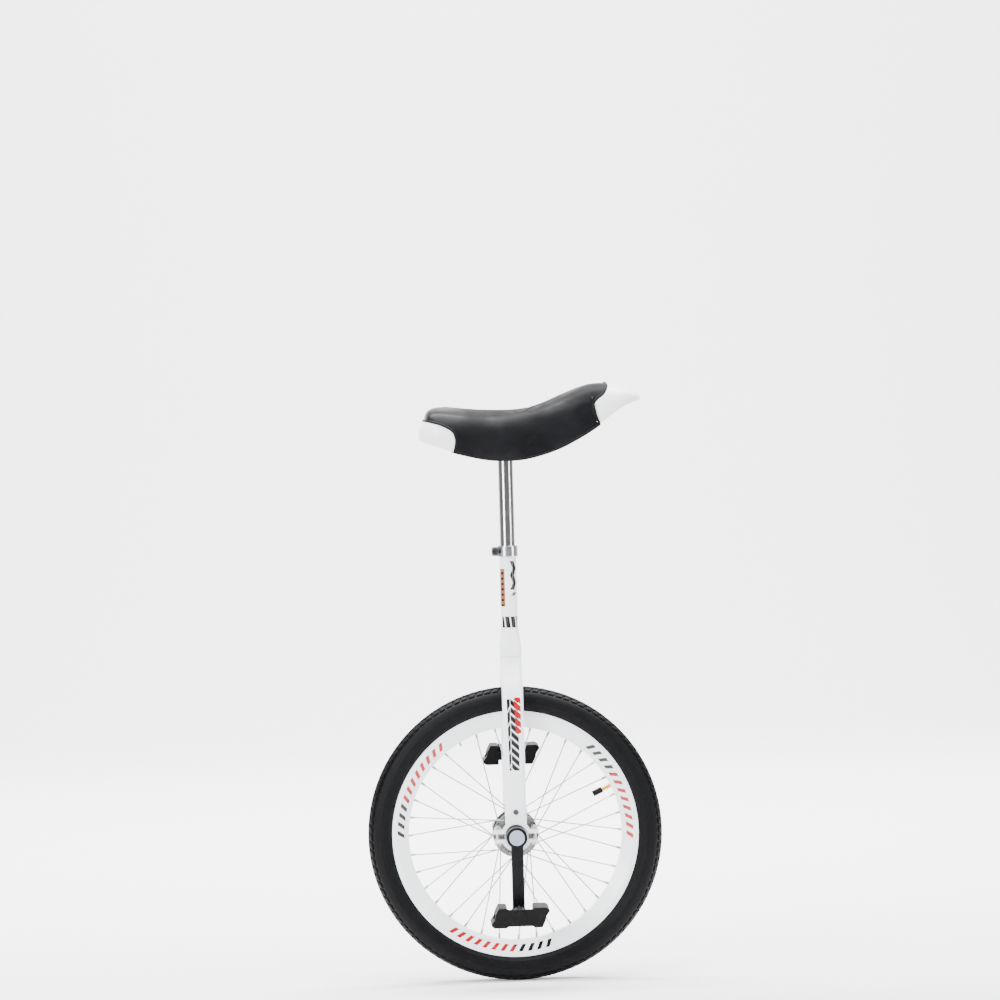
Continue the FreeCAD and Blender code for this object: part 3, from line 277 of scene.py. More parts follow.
def clothTape():
    tape = Finish("clothTape")
    x, y, z = tape.axes()
    turn = tape.maths("ARCTAN2", x, z - axleHeight)
    weave = tape.maths("SINE", y * 6000.0) * tape.maths("SINE", turn * 1200.0)
    base = tape.tint(weave * 0.5 + 0.5, (0.48, 0.36, 0.20), (0.62, 0.50, 0.30))
    return tape.wear(base, 0.8 + weave * 0.05, tape.bump(weave, 0.0001, 0.5))


tyreLow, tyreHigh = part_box("tyre")
axleHeight = (tyreLow[2] + tyreHigh[2]) / 2

finishes = {
    "enamel": paintedSteel("enamel"),
    "legEnamel": paintedSteel("legEnamel", legInk),
    "neckEnamel": paintedSteel("neckEnamel", neckInk),
    "rimEnamel": paintedSteel("rimEnamel", rimInk),
    "tyreRubber": tyreRubber(),
    "tubeRubber": moulded("tubeRubber", (0.016, 0.016, 0.017), (0.09, 0.09, 0.09), 0.55, 700, 0.0001),
    "clothTape": clothTape(),
    "brass": metal("brass", (0.70, 0.40, 0.11), (0.40, 0.22, 0.06), 0.3, 900),
    "capPlastic": moulded("capPlastic", (0.003, 0.003, 0.0034), (0.012, 0.012, 0.012), 0.4, 900, 0.0001,
                          Specular_IOR_Level=0.12),
    "spokeSteel": metal("spokeSteel", (0.40, 0.41, 0.43), (0.22, 0.22, 0.23), 0.28, 900),
    # the hub's chrome is coloured much darker than the other plated parts: painted shade for the hub sitting
    # between the legs and behind the cranks
    "hubChromeWithPaintedShade": metal("hubChromeWithPaintedShade", (0.26, 0.255, 0.25), (0.09, 0.087, 0.083), 0.16, 500, (1, 14, 1)),
    "brightSteel": metal("brightSteel", (0.60, 0.60, 0.61), (0.34, 0.33, 0.33), 0.22, 700),
    "bearingSteel": metal("bearingSteel", (0.66, 0.67, 0.69), (0.44, 0.44, 0.45), 0.12, 800),
    "crankEnamel": moulded("crankEnamel", (0.0022, 0.0024, 0.0032), (0.012, 0.012, 0.014), 0.32, 420, 0.00016,
                           Specular_IOR_Level=0.12, Coat_Weight=0.06, Coat_Roughness=0.2),
    "capSilver": moulded("capSilver", (0.24, 0.29, 0.37), (0.36, 0.40, 0.46), 0.34, 500, 0.00006,
                         Coat_Weight=0.3),
    "pedalPlastic": moulded("pedalPlastic", (0.0020, 0.0020, 0.0023), (0.011, 0.011, 0.012), 0.5, 520,
                            0.00022, Specular_IOR_Level=0.12),
    "amberLens": amberLens(),
    "bushingNylon": moulded("bushingNylon", (0.55, 0.53, 0.48), (0.40, 0.38, 0.33), 0.45, 600, 0.0001),
    "clampAlloy": metal("clampAlloy", (0.68, 0.69, 0.72), (0.34, 0.34, 0.37), 0.17, 600, (1, 1, 12)),
    "darkSteel": metal("darkSteel", (0.10, 0.10, 0.105), (0.045, 0.043, 0.042), 0.34, 500),
    "postChrome": metal("postChrome", (0.58, 0.57, 0.57), (0.30, 0.29, 0.29), 0.10, 420, (1, 1, 0.12)),
    "basePlastic": moulded("basePlastic", (0.013, 0.013, 0.014), (0.06, 0.06, 0.06), 0.48, 300, 0.0003),
    "openFoam": openFoam(),
    "leatherette": leatherette(),
    "edgeVinyl": moulded("edgeVinyl", (0.0025, 0.0025, 0.003), (0.008, 0.008, 0.009), 0.5, 900, 0.0001,
                         Specular_IOR_Level=0.12),
    "bumperPlastic": moulded("bumperPlastic", (0.80, 0.81, 0.80), (0.66, 0.66, 0.64), 0.30, 620, 0.00008,
                             Coat_Weight=0.25, Coat_Roughness=0.12, Subsurface_Weight=0.04),
}

worn = {
    "enamel": ("fork_crown", "bearing_holder_right", "bearing_holder_left", "bearing_cap_right",
               "bearing_cap_left"),
    "legEnamel": ("fork_leg_right", "fork_leg_left"),
    "neckEnamel": ("neck_tube",),
    "rimEnamel": ("rim",),
    "tyreRubber": ("tyre",),
    "tubeRubber": ("inner_tube",),
    "clothTape": ("rim_tape",),
    "brass": ("valve_stem",),
    "capPlastic": ("valve_cap",),
    "spokeSteel": ("spokes_right", "spokes_left", "spoke_nipples"),
    "hubChromeWithPaintedShade": ("hub_shell",),
    "brightSteel": ("axle", "axle_spacers", "bearing_cage_right", "bearing_cage_left", "pedal_spindle_right",
                    "pedal_spindle_left", "bearing_cap_bolts", "bearing_cap_nuts", "crank_bolts",
                    "pedal_nuts", "clamp_nut", "saddle_nuts", "saddle_bolts"),
    "bearingSteel": ("bearing_inner_races", "bearing_outer_races", "bearing_shields", "bearing_balls_right",
                     "bearing_balls_left"),
    "crankEnamel": ("crank_right", "crank_left"),
    "capSilver": ("crank_dust_caps",),
    "pedalPlastic": ("pedal_body_right", "pedal_body_left", "pedal_end_cap_right", "pedal_end_cap_left"),
    "amberLens": ("pedal_reflectors_right", "pedal_reflectors_left"),
    "bushingNylon": ("pedal_bushings_right", "pedal_bushings_left"),
    "clampAlloy": ("clamp_collar",),
    "darkSteel": ("clamp_bolt", "leg_screws", "saddle_bracket"),
    "postChrome": ("seat_post",),
    "basePlastic": ("saddle_base",),
    "openFoam": ("saddle_foam",),
    "leatherette": ("saddle_cover",),
    "bumperPlastic": ("front_bumper", "rear_bumper", "bumper_screws"),
}


def dress(piece, finishName):
    piece.data.materials.clear()
    piece.data.materials.append(finishes[finishName])


for finishName, nodeNames in worn.items():
    for nodeName in nodeNames:
        dress(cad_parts[nodeName], finishName)
bare = set(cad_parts) - {nodeName for nodeNames in worn.values() for nodeName in nodeNames}
print("finishes made:", len(finishes), "nodes without one:", sorted(bare))


# Mesh helpers

def pieceFrom(name, points, faces):
    mesh = bpy.data.meshes.new(name)
    mesh.from_pydata(points, [], faces)
    mesh.validate()
    build = bmesh.new()
    build.from_mesh(mesh)
    bmesh.ops.remove_doubles(build, verts=build.verts, dist=0.00002)
    bmesh.ops.recalc_face_normals(build, faces=build.faces)
    build.to_mesh(mesh)
    build.free()
    for face in mesh.polygons:
        face.use_smooth = True
    piece = bpy.data.objects.new(name, mesh)
    bpy.context.scene.collection.objects.link(piece)
    return piece


def applied(piece, kind, **settings):
    modifier = piece.modifiers.new(kind.lower(), kind)
    for key, value in settings.items():
        setattr(modifier, key, value)
    bpy.context.view_layer.objects.active = piece
    bpy.ops.object.modifier_apply(modifier=modifier.name)


def finishPiece(piece, finishName, body, slotName, *replaced):
    dress(piece, finishName)
    if replaced:
        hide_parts(*replaced)
    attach(piece, body)


class Curve:
    # a smooth line through (a, b) points, spaced by the chords between them, kept as a fine table
    def __init__(self, points, scale=mm, samples=1500):
        self.points = np.array(points, float) * scale
        steps = np.linalg.norm(np.diff(self.points, axis=0), axis=1)
        knots = np.concatenate([[0.0], np.cumsum(steps)])
        count = len(points)
        system, right = np.eye(count), np.zeros_like(self.points)
        for i in range(1, count - 1):
            left, ahead = steps[i - 1], steps[i]
            system[i, i - 1:i + 2] = left, 2 * (left + ahead), ahead
            right[i] = 6 * ((self.points[i + 1] - self.points[i]) / ahead
                            - (self.points[i] - self.points[i - 1]) / left)
        bends = np.linalg.solve(system, right)
        self.shares = np.linspace(0.0, 1.0, samples)
        where = self.shares * knots[-1]
        i = np.clip(np.searchsorted(knots, where, side="right") - 1, 0, count - 2)
        step = steps[i]
        a, b = ((knots[i + 1] - where) / step)[:, None], ((where - knots[i]) / step)[:, None]
        bend = ((a ** 3 - a) * bends[i] + (b ** 3 - b) * bends[i + 1]) * (step * step / 6)[:, None]
        self.table = a * self.points[i] + b * self.points[i + 1] + bend

    def at(self, share):
        return [float(np.interp(share, self.shares, self.table[:, axis])) for axis in (0, 1)]

    def across(self, value, axis=0):
        # the other coordinate where the line passes this value, held at the ends
        known, sought = self.table[:, axis], self.table[:, 1 - axis]
        if known[-1] < known[0]:
            known, sought = known[::-1], sought[::-1]
        return float(np.interp(value, known, sought))


# Tyre: a carcass with separate tread blocks standing on it

tyreShape = {"radius": 0.250, "section": 0.0235, "rimHook": 0.2104, "hookHalf": 0.01355, "aroundSteps": 320,
             "treadDepth": 0.0016, "treadEnd": 46.0, "blockCount": 112}
treadRows = [
    # place across the tread, half width and half length in mm, skew, share of a pitch ahead, height share
    {"place": 4.6, "wide": 3.9, "long": 5.9, "skew": 1.4, "ahead": 0.0, "tall": 1.0},
    {"place": 13.2, "wide": 3.6, "long": 5.2, "skew": -1.2, "ahead": 0.5, "tall": 0.9},
]


def tyrePoint(turn, lean, lift=0.0):
    # turn goes round the wheel, lean goes from the crown down the side, both in radians
    section = tyreShape["section"] + lift
    reach = tyreShape["radius"] - tyreShape["section"] + section * math.cos(lean)
    return Vector((reach * math.sin(turn), section * math.sin(lean), axleHeight + reach * math.cos(turn)))


def carcassLift(lean):
    # how far the bare carcass lies below the tyre's full section
    side = math.degrees(abs(lean))
    fade = min(max((tyreShape["treadEnd"] + 8 - side) / 10, 0.0), 1.0)
    lift = -tyreShape["treadDepth"] * fade * fade * (3 - 2 * fade)
    for ring, tall, width in ((84.0, 0.5, 2.2), (97.0, 0.35, 1.5), (118.0, 0.6, 2.6)):
        lift += tall * mm * math.exp(-((side - ring) / width) ** 2) - 0.12 * mm
    return lift


def carcassLine():
    centre = tyreShape["radius"] - tyreShape["section"]
    hookLean = math.pi - math.acos((centre - tyreShape["rimHook"]) / tyreShape["section"])
    leans = np.linspace(-hookLean, hookLean, 105)
    points = [tyrePoint(0.0, lean, carcassLift(lean)) for lean in leans]
    line = [(point.y, point.z - axleHeight) for point in points]
    foot = tyreShape["rimHook"] - 0.0035
    return [(-tyreShape["hookHalf"], foot)] + line + [(tyreShape["hookHalf"], foot)]


def treadBlock(points, faces, row, side, turn):
    across, along = 3, 2
    section, start = tyreShape["section"], len(points)

    def place(u, v, grow, lift):
        width = row["place"] + (row["wide"] + grow) * u
        length = (row["long"] + grow) * v + row["skew"] * u
        return tyrePoint(turn + length * mm / tyreShape["radius"], side * width * mm / section, lift * mm)

    depth = tyreShape["treadDepth"] / mm + 0.3
    crown = (row["tall"] - 1) * tyreShape["treadDepth"] / mm
    us = np.linspace(-1, 1, across + 1)
    vs = np.linspace(-1, 1, along + 1)
    for v in vs:
        points.extend(place(u, v, -0.5, crown) for u in us)
    wide = across + 1
    for j in range(along):
        for i in range(across):
            a = start + j * wide + i
            faces.append((a, a + 1, a + wide + 1, a + wide))
    ring = [(i, 0) for i in range(across)] + [(across, j) for j in range(along)]
    ring += [(across - i, along) for i in range(across)] + [(0, along - j) for j in range(along)]
    inner = [start + j * wide + i for i, j in ring]
    for grow, lift in ((-0.12, crown - 0.12), (0.1, crown - 0.45), (0.45, -depth)):
        outer = [len(points) + k for k in range(len(ring))]
        points.extend(place(us[i], vs[j], grow, lift) for i, j in ring)
        for k in range(len(ring)):
            following = (k + 1) % len(ring)
            faces.append((inner[k], inner[following], outer[following], outer[k]))
        inner = outer


def makeTyre():
    points, faces = [], []
    line = carcassLine()
    count, rows = tyreShape["aroundSteps"], len(line)
    for step in range(count):
        turn = 2 * math.pi * step / count
        points.extend((r * math.sin(turn), y, axleHeight + r * math.cos(turn)) for y, r in line)
    for step in range(count):
        following = (step + 1) % count
        for k in range(rows):
            other = (k + 1) % rows
            here, there = step * rows, following * rows
            faces.append((here + k, here + other, there + other, there + k))
    for number in range(tyreShape["blockCount"]):
        for row in treadRows:
            for side, shift in ((1, 0.0), (-1, 0.5)):
                turn = 2 * math.pi * (number + row["ahead"] + shift) / tyreShape["blockCount"]
                treadBlock(points, faces, row, side, turn)
    tyre = pieceFrom("treaded_tyre", points, faces)
    finishPiece(tyre, "tyreRubber", "wheel", "tyre_rubber", "tyre")
    print("tyre made with", len(tyre.data.vertices), "points")


makeTyre()


# Saddle: one form whose sides and ends round over into the top; the cover and both bumpers are cut from it

saddle = {"foot": 0.885, "spineRear": -0.096, "spineFront": 0.1716, "rearLean": 0.0114, "rearSpan": 0.052}
cover = {"wall": 0.003, "columns": (50, 60, 40), "rows": 30, "swellCap": 0.0026, "frames": 20}
coverCloth = {"quality": 6, "mass": 0.25, "tension_stiffness": 18, "compression_stiffness": 18,
              "bending_stiffness": 4.0, "use_pressure": True, "uniform_pressure_force": 4.0}
trim = {"radius": 0.0023, "around": 10, "closest": 0.0016, "sunk": 0.0006, "middleBand": 0.004}
bumper = {"columns": 70, "rows": 18, "sunk": 0.0002, "wall": 0.003, "cornerClimb": 0.045}
foam = {"inset": 0.0075, "rear": 0.02, "front": 0.98, "footClimb": 0.3, "columns": 80, "rows": 14,
        "under": (0.0, 0.35, 0.7)}
saddleCrown = Curve([(-150, 93), (-124, 92), (-104, 90.5), (-62, 85.5), (-20, 82.7), (2, 82.3), (35, 84.5),
                     (69, 94), (108, 111.2), (138, 123), (157, 126), (172, 125.5), (200, 120.5), (220, 114),
                     (234, 106)])
saddleBelly = Curve([(-150, 38), (-120, 26), (-90, 16), (-60, 8), (-30, 2), (0, 0), (30, 1.5), (60, 8), (90, 18),
                     (115, 30), (140, 44), (164, 60), (186, 76), (205, 87), (234, 96)])
saddlePlan = Curve([(-148, 0), (-148, 30), (-147.5, 62), (-142.5, 83), (-130, 95), (-105, 104), (-75, 104),
                    (-40, 92), (0, 78), (40, 70), (80, 69), (120, 72), (155, 73), (185, 69), (210, 57),
                    (225, 42), (231, 22), (232, 0)])
saddleSide = Curve([(0.97, 0.0), (1.0, 0.3), (0.97, 0.58), (0.85, 0.83), (0.5, 0.97), (0.0, 1.0)], 1.0)
rearCut = Curve([(-158, 72.5), (-136, 69), (-114, 63.5), (-100, 57.5), (-89.5, 50), (-84.5, 38), (-84.8, 27),
                 (-88, 15), (-91, -10)])
frontCut = Curve([(172, 145), (172, 120), (167, 109), (153, 97), (147, 87), (150, 75), (157, 58), (164, 36)])


def spineUnder(x):
    # the place on the middle line that a column from this place on the outline leans toward
    rear, front = saddlePlan.points[0][0], saddlePlan.points[-1][0]
    return saddle["spineRear"] + (x - rear) / (front - rear) * (saddle["spineFront"] - saddle["spineRear"])


def saddlePoint(share, climb):
    # share goes along half the outline from the rear, climb from the foot over to the middle of the top
    edge = saddlePlan.at(share)
    spine = spineUnder(edge[0])
    wide, tall = saddleSide.at(climb)
    x, y = spine + (edge[0] - spine) * wide, edge[1] * wide
    low, high = saddleBelly.across(x), saddleCrown.across(x)
    leaning = max(0.0, (saddle["spineRear"] - x) / saddle["rearSpan"]) ** 2 * saddle["rearLean"]
    leaning *= min(tall / 0.6, 1.0) ** 2
    return Vector((x + leaning, y, saddle["foot"] + low + (high - low) * tall))


def inRearBumper(point):
    height = point.z - saddle["foot"]
    return height < rearCut.points[0][1] and point.x < rearCut.across(height, 1)


def inFrontBumper(point):
    height = point.z - saddle["foot"]
    return point.x > frontCut.across(height, 1)


def halved(isLow, low, high, steps=18):
    # both ends of the small range that is left round the place where the test stops being true
    for _ in range(steps):
        middle = (low + high) / 2
        if isLow(middle):
            low = middle
        else:
            high = middle
    return low, high


# the columns whose feet are where the bumpers end
rearShare = sum(halved(lambda share: inRearBumper(saddlePoint(share, 0.0)), 0.0, 0.6, 24)) / 2
frontShare = sum(halved(lambda share: inFrontBumper(saddlePoint(share, 0.0)), 1.0, 0.6, 24)) / 2


def climbTo(share, height):
    # how far up a column a height above the foot is
    return sum(halved(lambda climb: saddlePoint(share, climb).z - saddle["foot"] < height, 0.0, 1.0, 16)) / 2


def placeOn(x, height):
    # the (share, climb) of the surface at a place seen from the side
    share = sum(halved(lambda tried: saddlePoint(tried, climbTo(tried, height)).x < x, 0.0, 1.0)) / 2
    return share, climbTo(share, height)


cutSteps = {"along": 70, "across": 24, "belowCrown": 0.002, "poleGap": 0.004, "footGap": 0.002}


def cutPath(cut, first, last):
    # (share, climb) places along one bumper's edge, from its end on the middle line down to the foot
    path = []
    for i in range(cutSteps["along"] + 1):
        x, height = cut.at(i / cutSteps["along"])
        above = saddleBelly.across(x) < height < saddleCrown.across(x) - cutSteps["belowCrown"]
        share, climb = placeOn(x, height)
        offPoles = cutSteps["poleGap"] < share < 1.0 - cutSteps["poleGap"]
        if above and offPoles and climb > cutSteps["footGap"]:
            path.append((share, climb))
    if first[1] == 1.0:
        path = acrossTop(path[0]) + path
    return [first] + path + [last]


def acrossTop(place):
    # from the middle of the top straight sideways to a place on the side
    x, found = saddlePoint(*place).x, []
    for i in range(1, cutSteps["across"]):
        climb = 1.0 + (place[1] - 1.0) * i / cutSteps["across"]
        found.append((halved(lambda share: saddlePoint(share, climb).x < x, 0.5, 1.0)[0], climb))
    return found


def levelPath(first, last, climb, steps=120):
    return [(first + (last - first) * i / steps, climb) for i in range(steps + 1)]


def evenly(path, count):
    # the same path in equal steps over the surface
    points = [saddlePoint(*place) for place in path]
    run = np.concatenate([[0.0], np.cumsum([(b - a).length for a, b in zip(points, points[1:])])])
    goals = np.linspace(0.0, run[-1], count + 1)
    shares = np.interp(goals, run, [place[0] for place in path])
    climbs = np.interp(goals, run, [place[1] for place in path])
    return list(zip(shares, climbs))


def gridBetween(lower, upper, rows):
    grid = []
    for (share, climb), (farShare, farClimb) in zip(lower, upper):
        steps = [j / rows for j in range(rows + 1)]
        grid.append([saddlePoint(share + (farShare - share) * t, climb + (farClimb - climb) * t) for t in steps])
    return grid


def gridPiece(name, grid):
    # both halves of a grid of columns, joined down the middle
    points, faces = [], []
    tall = len(grid[0])
    for side in (-1, 1):
        start = len(points)
        points.extend((p.x, side * p.y, p.z) for column in grid for p in column)
        for i in range(len(grid) - 1):
            for j in range(tall - 1):
                a = start + i * tall + j
                face = (a, a + 1, a + tall + 1, a + tall)
                faces.append(face if side < 0 else face[::-1])
    return pieceFrom(name, points, faces)


def outward(piece, middle):
    # turns the faces to look away from a point inside
    mesh = piece.data
    away = sum(face.normal.dot(face.center - middle) * face.area for face in mesh.polygons)
    if away < 0:
        mesh.flip_normals()


def swollen(piece, pinned):
    # lets the cover fill like a padded skin held at its edge, and caps how far it may move
    rest = [vertex.co.copy() for vertex in piece.data.vertices]
    group = piece.vertex_groups.new(name="held")
    group.add(pinned, 1.0, "REPLACE")
    cloth = piece.modifiers.new("cloth", "CLOTH")
    cloth.settings.vertex_group_mass = "held"
    for key, value in coverCloth.items():
        setattr(cloth.settings, key, value)
    cloth.settings.effector_weights.gravity = 0.0
    cloth.point_cache.frame_start = 1
    cloth.point_cache.frame_end = cover["frames"]
    for number in range(1, cover["frames"] + 1):
        bpy.context.scene.frame_set(number)
    bpy.context.view_layer.objects.active = piece
    bpy.ops.object.modifier_apply(modifier=cloth.name)
    bpy.context.scene.frame_set(1)
    for vertex, start in zip(piece.data.vertices, rest):
        move = vertex.co - start
        if move.length > cover["swellCap"]:
            vertex.co = start + move.normalized() * cover["swellCap"]


def openEdges(mesh):
    build = bmesh.new()
    build.from_mesh(mesh)
    found = [vertex.index for vertex in build.verts if vertex.is_boundary]
    build.free()
    return found


rearTop = halved(lambda climb: inRearBumper(saddlePoint(0.0, climb)), 0.0, 1.0, 16)[0]
rearEdge = cutPath(rearCut, (0.0, rearTop), (rearShare, 0.0))
frontEdge = cutPath(frontCut, (1.0, 1.0), (frontShare, 0.0))[::-1]


def makeCover():
    rear, middle, front = cover["columns"]
    foot = evenly(rearEdge, rear) + evenly(levelPath(rearShare, frontShare, 0.0), middle)[1:]
    foot += evenly(frontEdge, front)[1:]
    top = evenly(levelPath(0.0, 1.0, 1.0), rear + middle + front)
    grid = gridBetween(foot, top, cover["rows"])
    skin = gridPiece("padded_cover", grid)
    outward(skin, Vector((0.0, 0.0, saddle["foot"] + 0.04)))
    rim = [column[0] for column in grid]
    swollen(skin, openEdges(skin.data))
    applied(skin, "SOLIDIFY", thickness=cover["wall"], offset=-1.0)
    applied(skin, "SUBSURF", levels=1, render_levels=1)
    for face in skin.data.polygons:
        face.use_smooth = True
    finishPiece(skin, "leatherette", "seat", "cover_leather", "saddle_cover")
    print("saddle cover made with", len(skin.data.vertices), "points")
    return rim


def makeTrim(rim):
    # the cover's rolled edge: a soft bead all the way round its rim
    loop = [Vector((p.x, -p.y, p.z)) for p in rim] + [p.copy() for p in reversed(rim)]
    line = [loop[0]]
    for point in loop[1:]:
        if (point - line[-1]).length > trim["closest"]:
            line.append(point)
    count, around = len(line), trim["around"]
    points, faces = [], []
    for i, point in enumerate(line):
        ahead = (line[(i + 1) % count] - line[i - 1]).normalized()
        nearMiddle = abs(point.y) <= trim["middleBand"]
        out = Vector((point.x, 0, 0) if nearMiddle else (0, point.y, 0)).normalized()
        side = (out - ahead * out.dot(ahead)).normalized()
        up = ahead.cross(side)
        middle = point - side * trim["sunk"]
        for k in range(around):
            a = 2 * math.pi * k / around
            points.append(middle + (side * math.cos(a) + up * math.sin(a)) * trim["radius"])
    for i in range(count):
        here, there = i * around, (i + 1) % count * around
        for k in range(around):
            other = (k + 1) % around
            faces.append((here + k, here + other, there + other, there + k))
    bead = pieceFrom("cover_edge_trim", points, faces)
    finishPiece(bead, "edgeVinyl", "seat", "cover_leather")
    print("cover trim made with", count, "stations")


def makeBumper(name, first, last, edge, node):
    edge = [place for place in edge if place[1] > bumper["cornerClimb"]]
    foot = evenly(levelPath(first, last, 0.0), bumper["columns"])
    shell = gridPiece(name, gridBetween(foot, evenly(edge, bumper["columns"]), bumper["rows"]))
    outward(shell, Vector((0.0, 0.0, saddle["foot"] + 0.06)))
    for vertex in shell.data.vertices:
        vertex.co -= vertex.normal * bumper["sunk"]
    applied(shell, "SOLIDIFY", thickness=bumper["wall"], offset=-1.0)
    for face in shell.data.polygons:
        face.use_smooth = True
    finishPiece(shell, "bumperPlastic", "seat", "bumper_white", node)
    print(name, "made with", len(shell.data.vertices), "points")


def makeFoam():
    # the pad inside the cover: its skin set in toward the core, with a flat underside
    grid = []
    for share, climb in evenly(levelPath(foam["rear"], foam["front"], foam["footClimb"]), foam["columns"]):
        skin = []
        for k in range(foam["rows"] + 1):
            point = saddlePoint(share, climb + (1.0 - climb) * k / foam["rows"])
            middle = min(max(point.x, saddle["spineRear"]), saddle["spineFront"])
            coreHeight = (saddleBelly.across(middle) + saddleCrown.across(middle)) / 2
            inward = Vector((middle, 0.0, saddle["foot"] + coreHeight)) - point
            skin.append(point + inward.normalized() * min(foam["inset"], inward.length * 0.9))
        skin[-1].y = 0.0
        spine, corner = skin[-1].x, skin[0]
        under = [Vector((spine + (corner.x - spine) * w, corner.y * w, corner.z)) for w in foam["under"]]
        grid.append(under + skin)
    pad = gridPiece("foam_pad", grid)
    outward(pad, Vector((0.0, 0.0, saddle["foot"] + 0.05)))
    finishPiece(pad, "openFoam", "seat", "foam", "saddle_foam")
    print("foam pad made")


basePlate = {"above": 0.012, "thick": 0.005, "inset": 0.0055, "endInset": 0.0065, "columns": 110, "across": 10}
baseRibs = {"at": (-0.036, 0.036), "tall": 0.004, "wide": 0.003, "tipShare": 0.7, "sunk": 0.001, "from": -0.115,
            "to": 0.19, "stations": 40, "bracketHalf": 0.053, "overBracket": 0.0004}


def basePoint(share, wide):
    edge = saddlePlan.at(share)
    spine = spineUnder(edge[0])
    reach = math.hypot(edge[0] - spine, edge[1])
    inset = basePlate["inset"] + basePlate["endInset"] * abs(edge[0] - spine) / reach
    wide *= (reach - inset) / reach
    x = spine + (edge[0] - spine) * wide
    return Vector((x, edge[1] * wide, saddle["foot"] + saddleBelly.across(x) + basePlate["above"]))


def addRib(build, y):
    # one rib along the plate's underside, cut low where it passes over the bracket
    half, sunk = baseRibs["wide"] / 2, baseRibs["sunk"]
    rings = []
    for x in np.linspace(baseRibs["from"], baseRibs["to"], baseRibs["stations"]):
        low = saddle["foot"] + saddleBelly.across(x) + basePlate["above"]
        drop = baseRibs["overBracket"] if abs(x) < baseRibs["bracketHalf"] else baseRibs["tall"]
        tip = baseRibs["tipShare"] * half
        corners = [(y - half, sunk), (y + half, sunk), (y + tip, -drop), (y - tip, -drop)]
        rings.append([build.verts.new((x, side, low + rise)) for side, rise in corners])
    for ring, following in zip(rings, rings[1:]):
        for k in range(4):
            build.faces.new((ring[k], ring[(k + 1) % 4], following[(k + 1) % 4], following[k]))
    build.faces.new(rings[0])
    build.faces.new(rings[-1][::-1])


def makeBasePlate():
    # the moulded plate under the foam, with two ribs along its underside
    shares = [place[0] for place in evenly(levelPath(0.0, 1.0, 0.0), basePlate["columns"])]
    steps = basePlate["across"]
    grid = [[basePoint(share, 1 - k / steps) for k in range(steps + 1)] for share in shares]
    plate = gridPiece("saddle_base_plate", grid)
    if plate.data.polygons[0].normal.z < 0:
        plate.data.flip_normals()
    applied(plate, "SOLIDIFY", thickness=basePlate["thick"], offset=1.0)
    build = bmesh.new()
    build.from_mesh(plate.data)
    for y in baseRibs["at"]:
        addRib(build, y)
    build.to_mesh(plate.data)
    build.free()
    finishPiece(plate, "basePlastic", "seat", "base_plastic", "saddle_base")
    print("base plate made")


makeTrim(makeCover())
makeBumper("rear_bumper_shell", 0.0, rearShare, rearEdge, "rear_bumper")
makeBumper("front_bumper_shell", frontShare, 1.0, frontEdge, "front_bumper")
makeFoam()
makeBasePlate()


# Studio: pale floor that curves up behind, a soft overhead, two side panels and a wash on the backdrop

studio = {"floor": (0.86, 0.86, 0.86), "reach": 14.0, "behind": 5.0, "bend": 3.0, "wallTop": 9.0,
          "world": (0.95, 0.98, 1.0), "worldStrength": 0.3}
studioLights = [
    {"name": "overhead", "at": (0.0, -0.5, 3.0), "aim": (0.0, 0.0, 0.6), "size": (3.2, 2.6), "power": 300.0},
    {"name": "leftPanel", "at": (-2.4, -2.6, 1.7), "aim": (0.0, 0.0, 0.6), "size": (1.0, 2.4), "power": 200.0},
    {"name": "rightPanel", "at": (2.8, -1.8, 1.5), "aim": (0.0, 0.0, 0.6), "size": (0.7, 2.2), "power": 70.0},
    {"name": "backdropWash", "at": (0.0, 1.4, 4.6), "aim": (0.0, 6.5, 0.9), "size": (7.0, 1.5), "power": 2300.0},
]


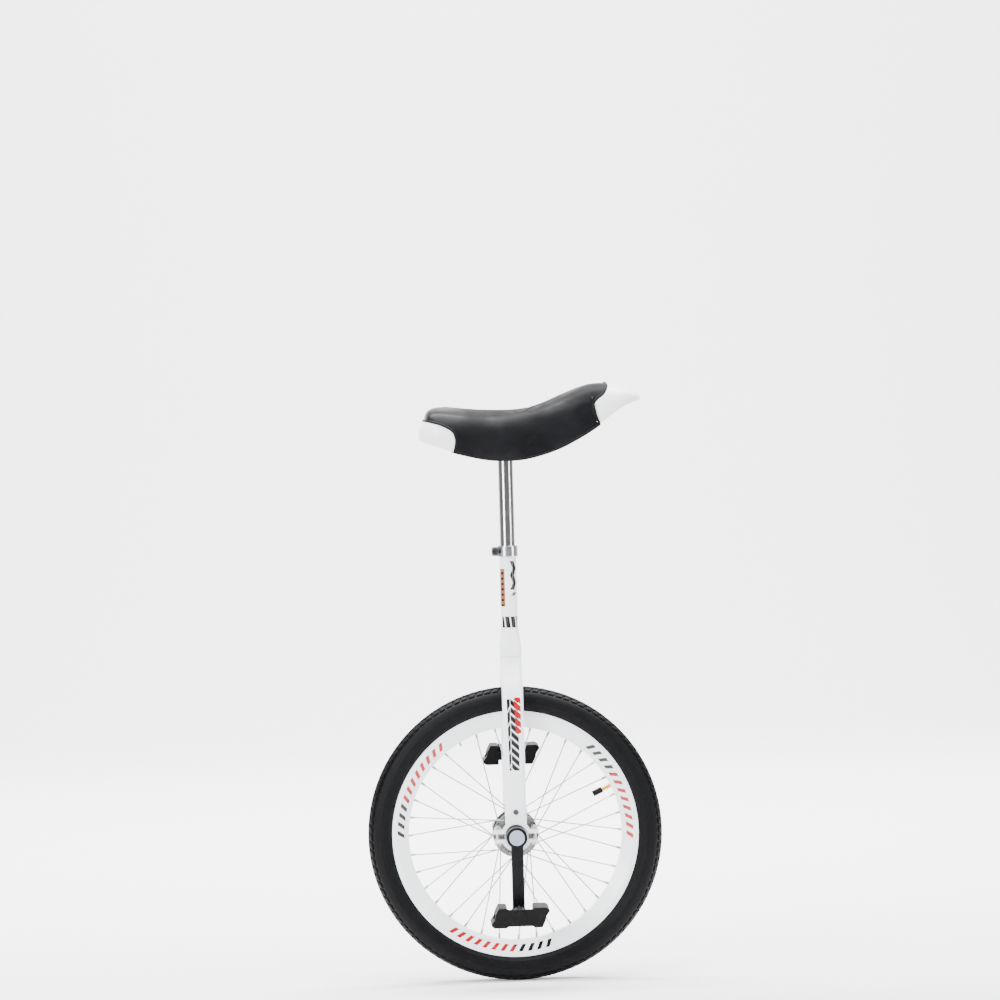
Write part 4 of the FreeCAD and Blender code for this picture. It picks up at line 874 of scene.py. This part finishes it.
def studioFloor():
    mesh = bpy.data.meshes.new("studio_floor")
    build = bmesh.new()
    reach, bend, behind = studio["reach"], studio["bend"], studio["behind"]
    leans = np.linspace(0.1, math.pi / 2, 14)
    line = [(-reach, 0.0), (behind, 0.0)]
    line += [(behind + bend * math.sin(lean), bend - bend * math.cos(lean)) for lean in leans]
    line.append((behind + bend, studio["wallTop"]))
    rows = [[build.verts.new((x, y, z)) for x in (-reach, reach)] for y, z in line]
    for lower, upper in zip(rows, rows[1:]):
        build.faces.new((lower[0], lower[1], upper[1], upper[0]))
    build.to_mesh(mesh)
    build.free()
    for face in mesh.polygons:
        face.use_smooth = True
    floor = bpy.data.objects.new("studio_floor", mesh)
    bpy.context.scene.collection.objects.link(floor)
    surface = Finish("studioFloor")
    mottle = surface.noise(3, 3)
    base = surface.tint(mottle * 0.3, studio["floor"], (0.82, 0.82, 0.83))
    floor.data.materials.append(surface.wear(base, 0.75 + mottle * 0.1))


def softLight(name, at, aim, size, power):
    data = bpy.data.lights.new(name, "AREA")
    data.shape = "RECTANGLE"
    data.size, data.size_y = size
    data.energy = power
    lamp = bpy.data.objects.new(name, data)
    bpy.context.scene.collection.objects.link(lamp)
    lamp.location = at
    lamp.rotation_euler = (Vector(aim) - Vector(at)).to_track_quat("-Z", "Y").to_euler()


def studioWorld():
    world = bpy.data.worlds.new("studio")
    bpy.context.scene.world = world
    world.use_nodes = True
    backdrop = world.node_tree.nodes["Background"]
    backdrop.inputs["Color"].default_value = (*studio["world"], 1.0)
    backdrop.inputs["Strength"].default_value = studio["worldStrength"]


studioFloor()
studioWorld()
for light in studioLights:
    softLight(**light)


# Camera: long lens, a little above the wheel and level with the saddle, tipped by a hair

view = {"at": (-0.211, -6.456, 0.94), "aim": (-0.0107, 0.0, 0.8166), "lens": 137.0, "roll": -1.55}


def makeCamera():
    data = bpy.data.cameras.new("camera")
    data.lens = view["lens"]
    data.sensor_width = 36.0
    camera = bpy.data.objects.new("camera", data)
    bpy.context.scene.collection.objects.link(camera)
    camera.location = view["at"]
    look = (Vector(view["aim"]) - camera.location).to_track_quat("-Z", "Y")
    camera.rotation_euler = look.to_euler()
    camera.rotation_euler.rotate_axis("Z", math.radians(view["roll"]))
    bpy.context.scene.camera = camera


makeCamera()
print("studio and camera ready")
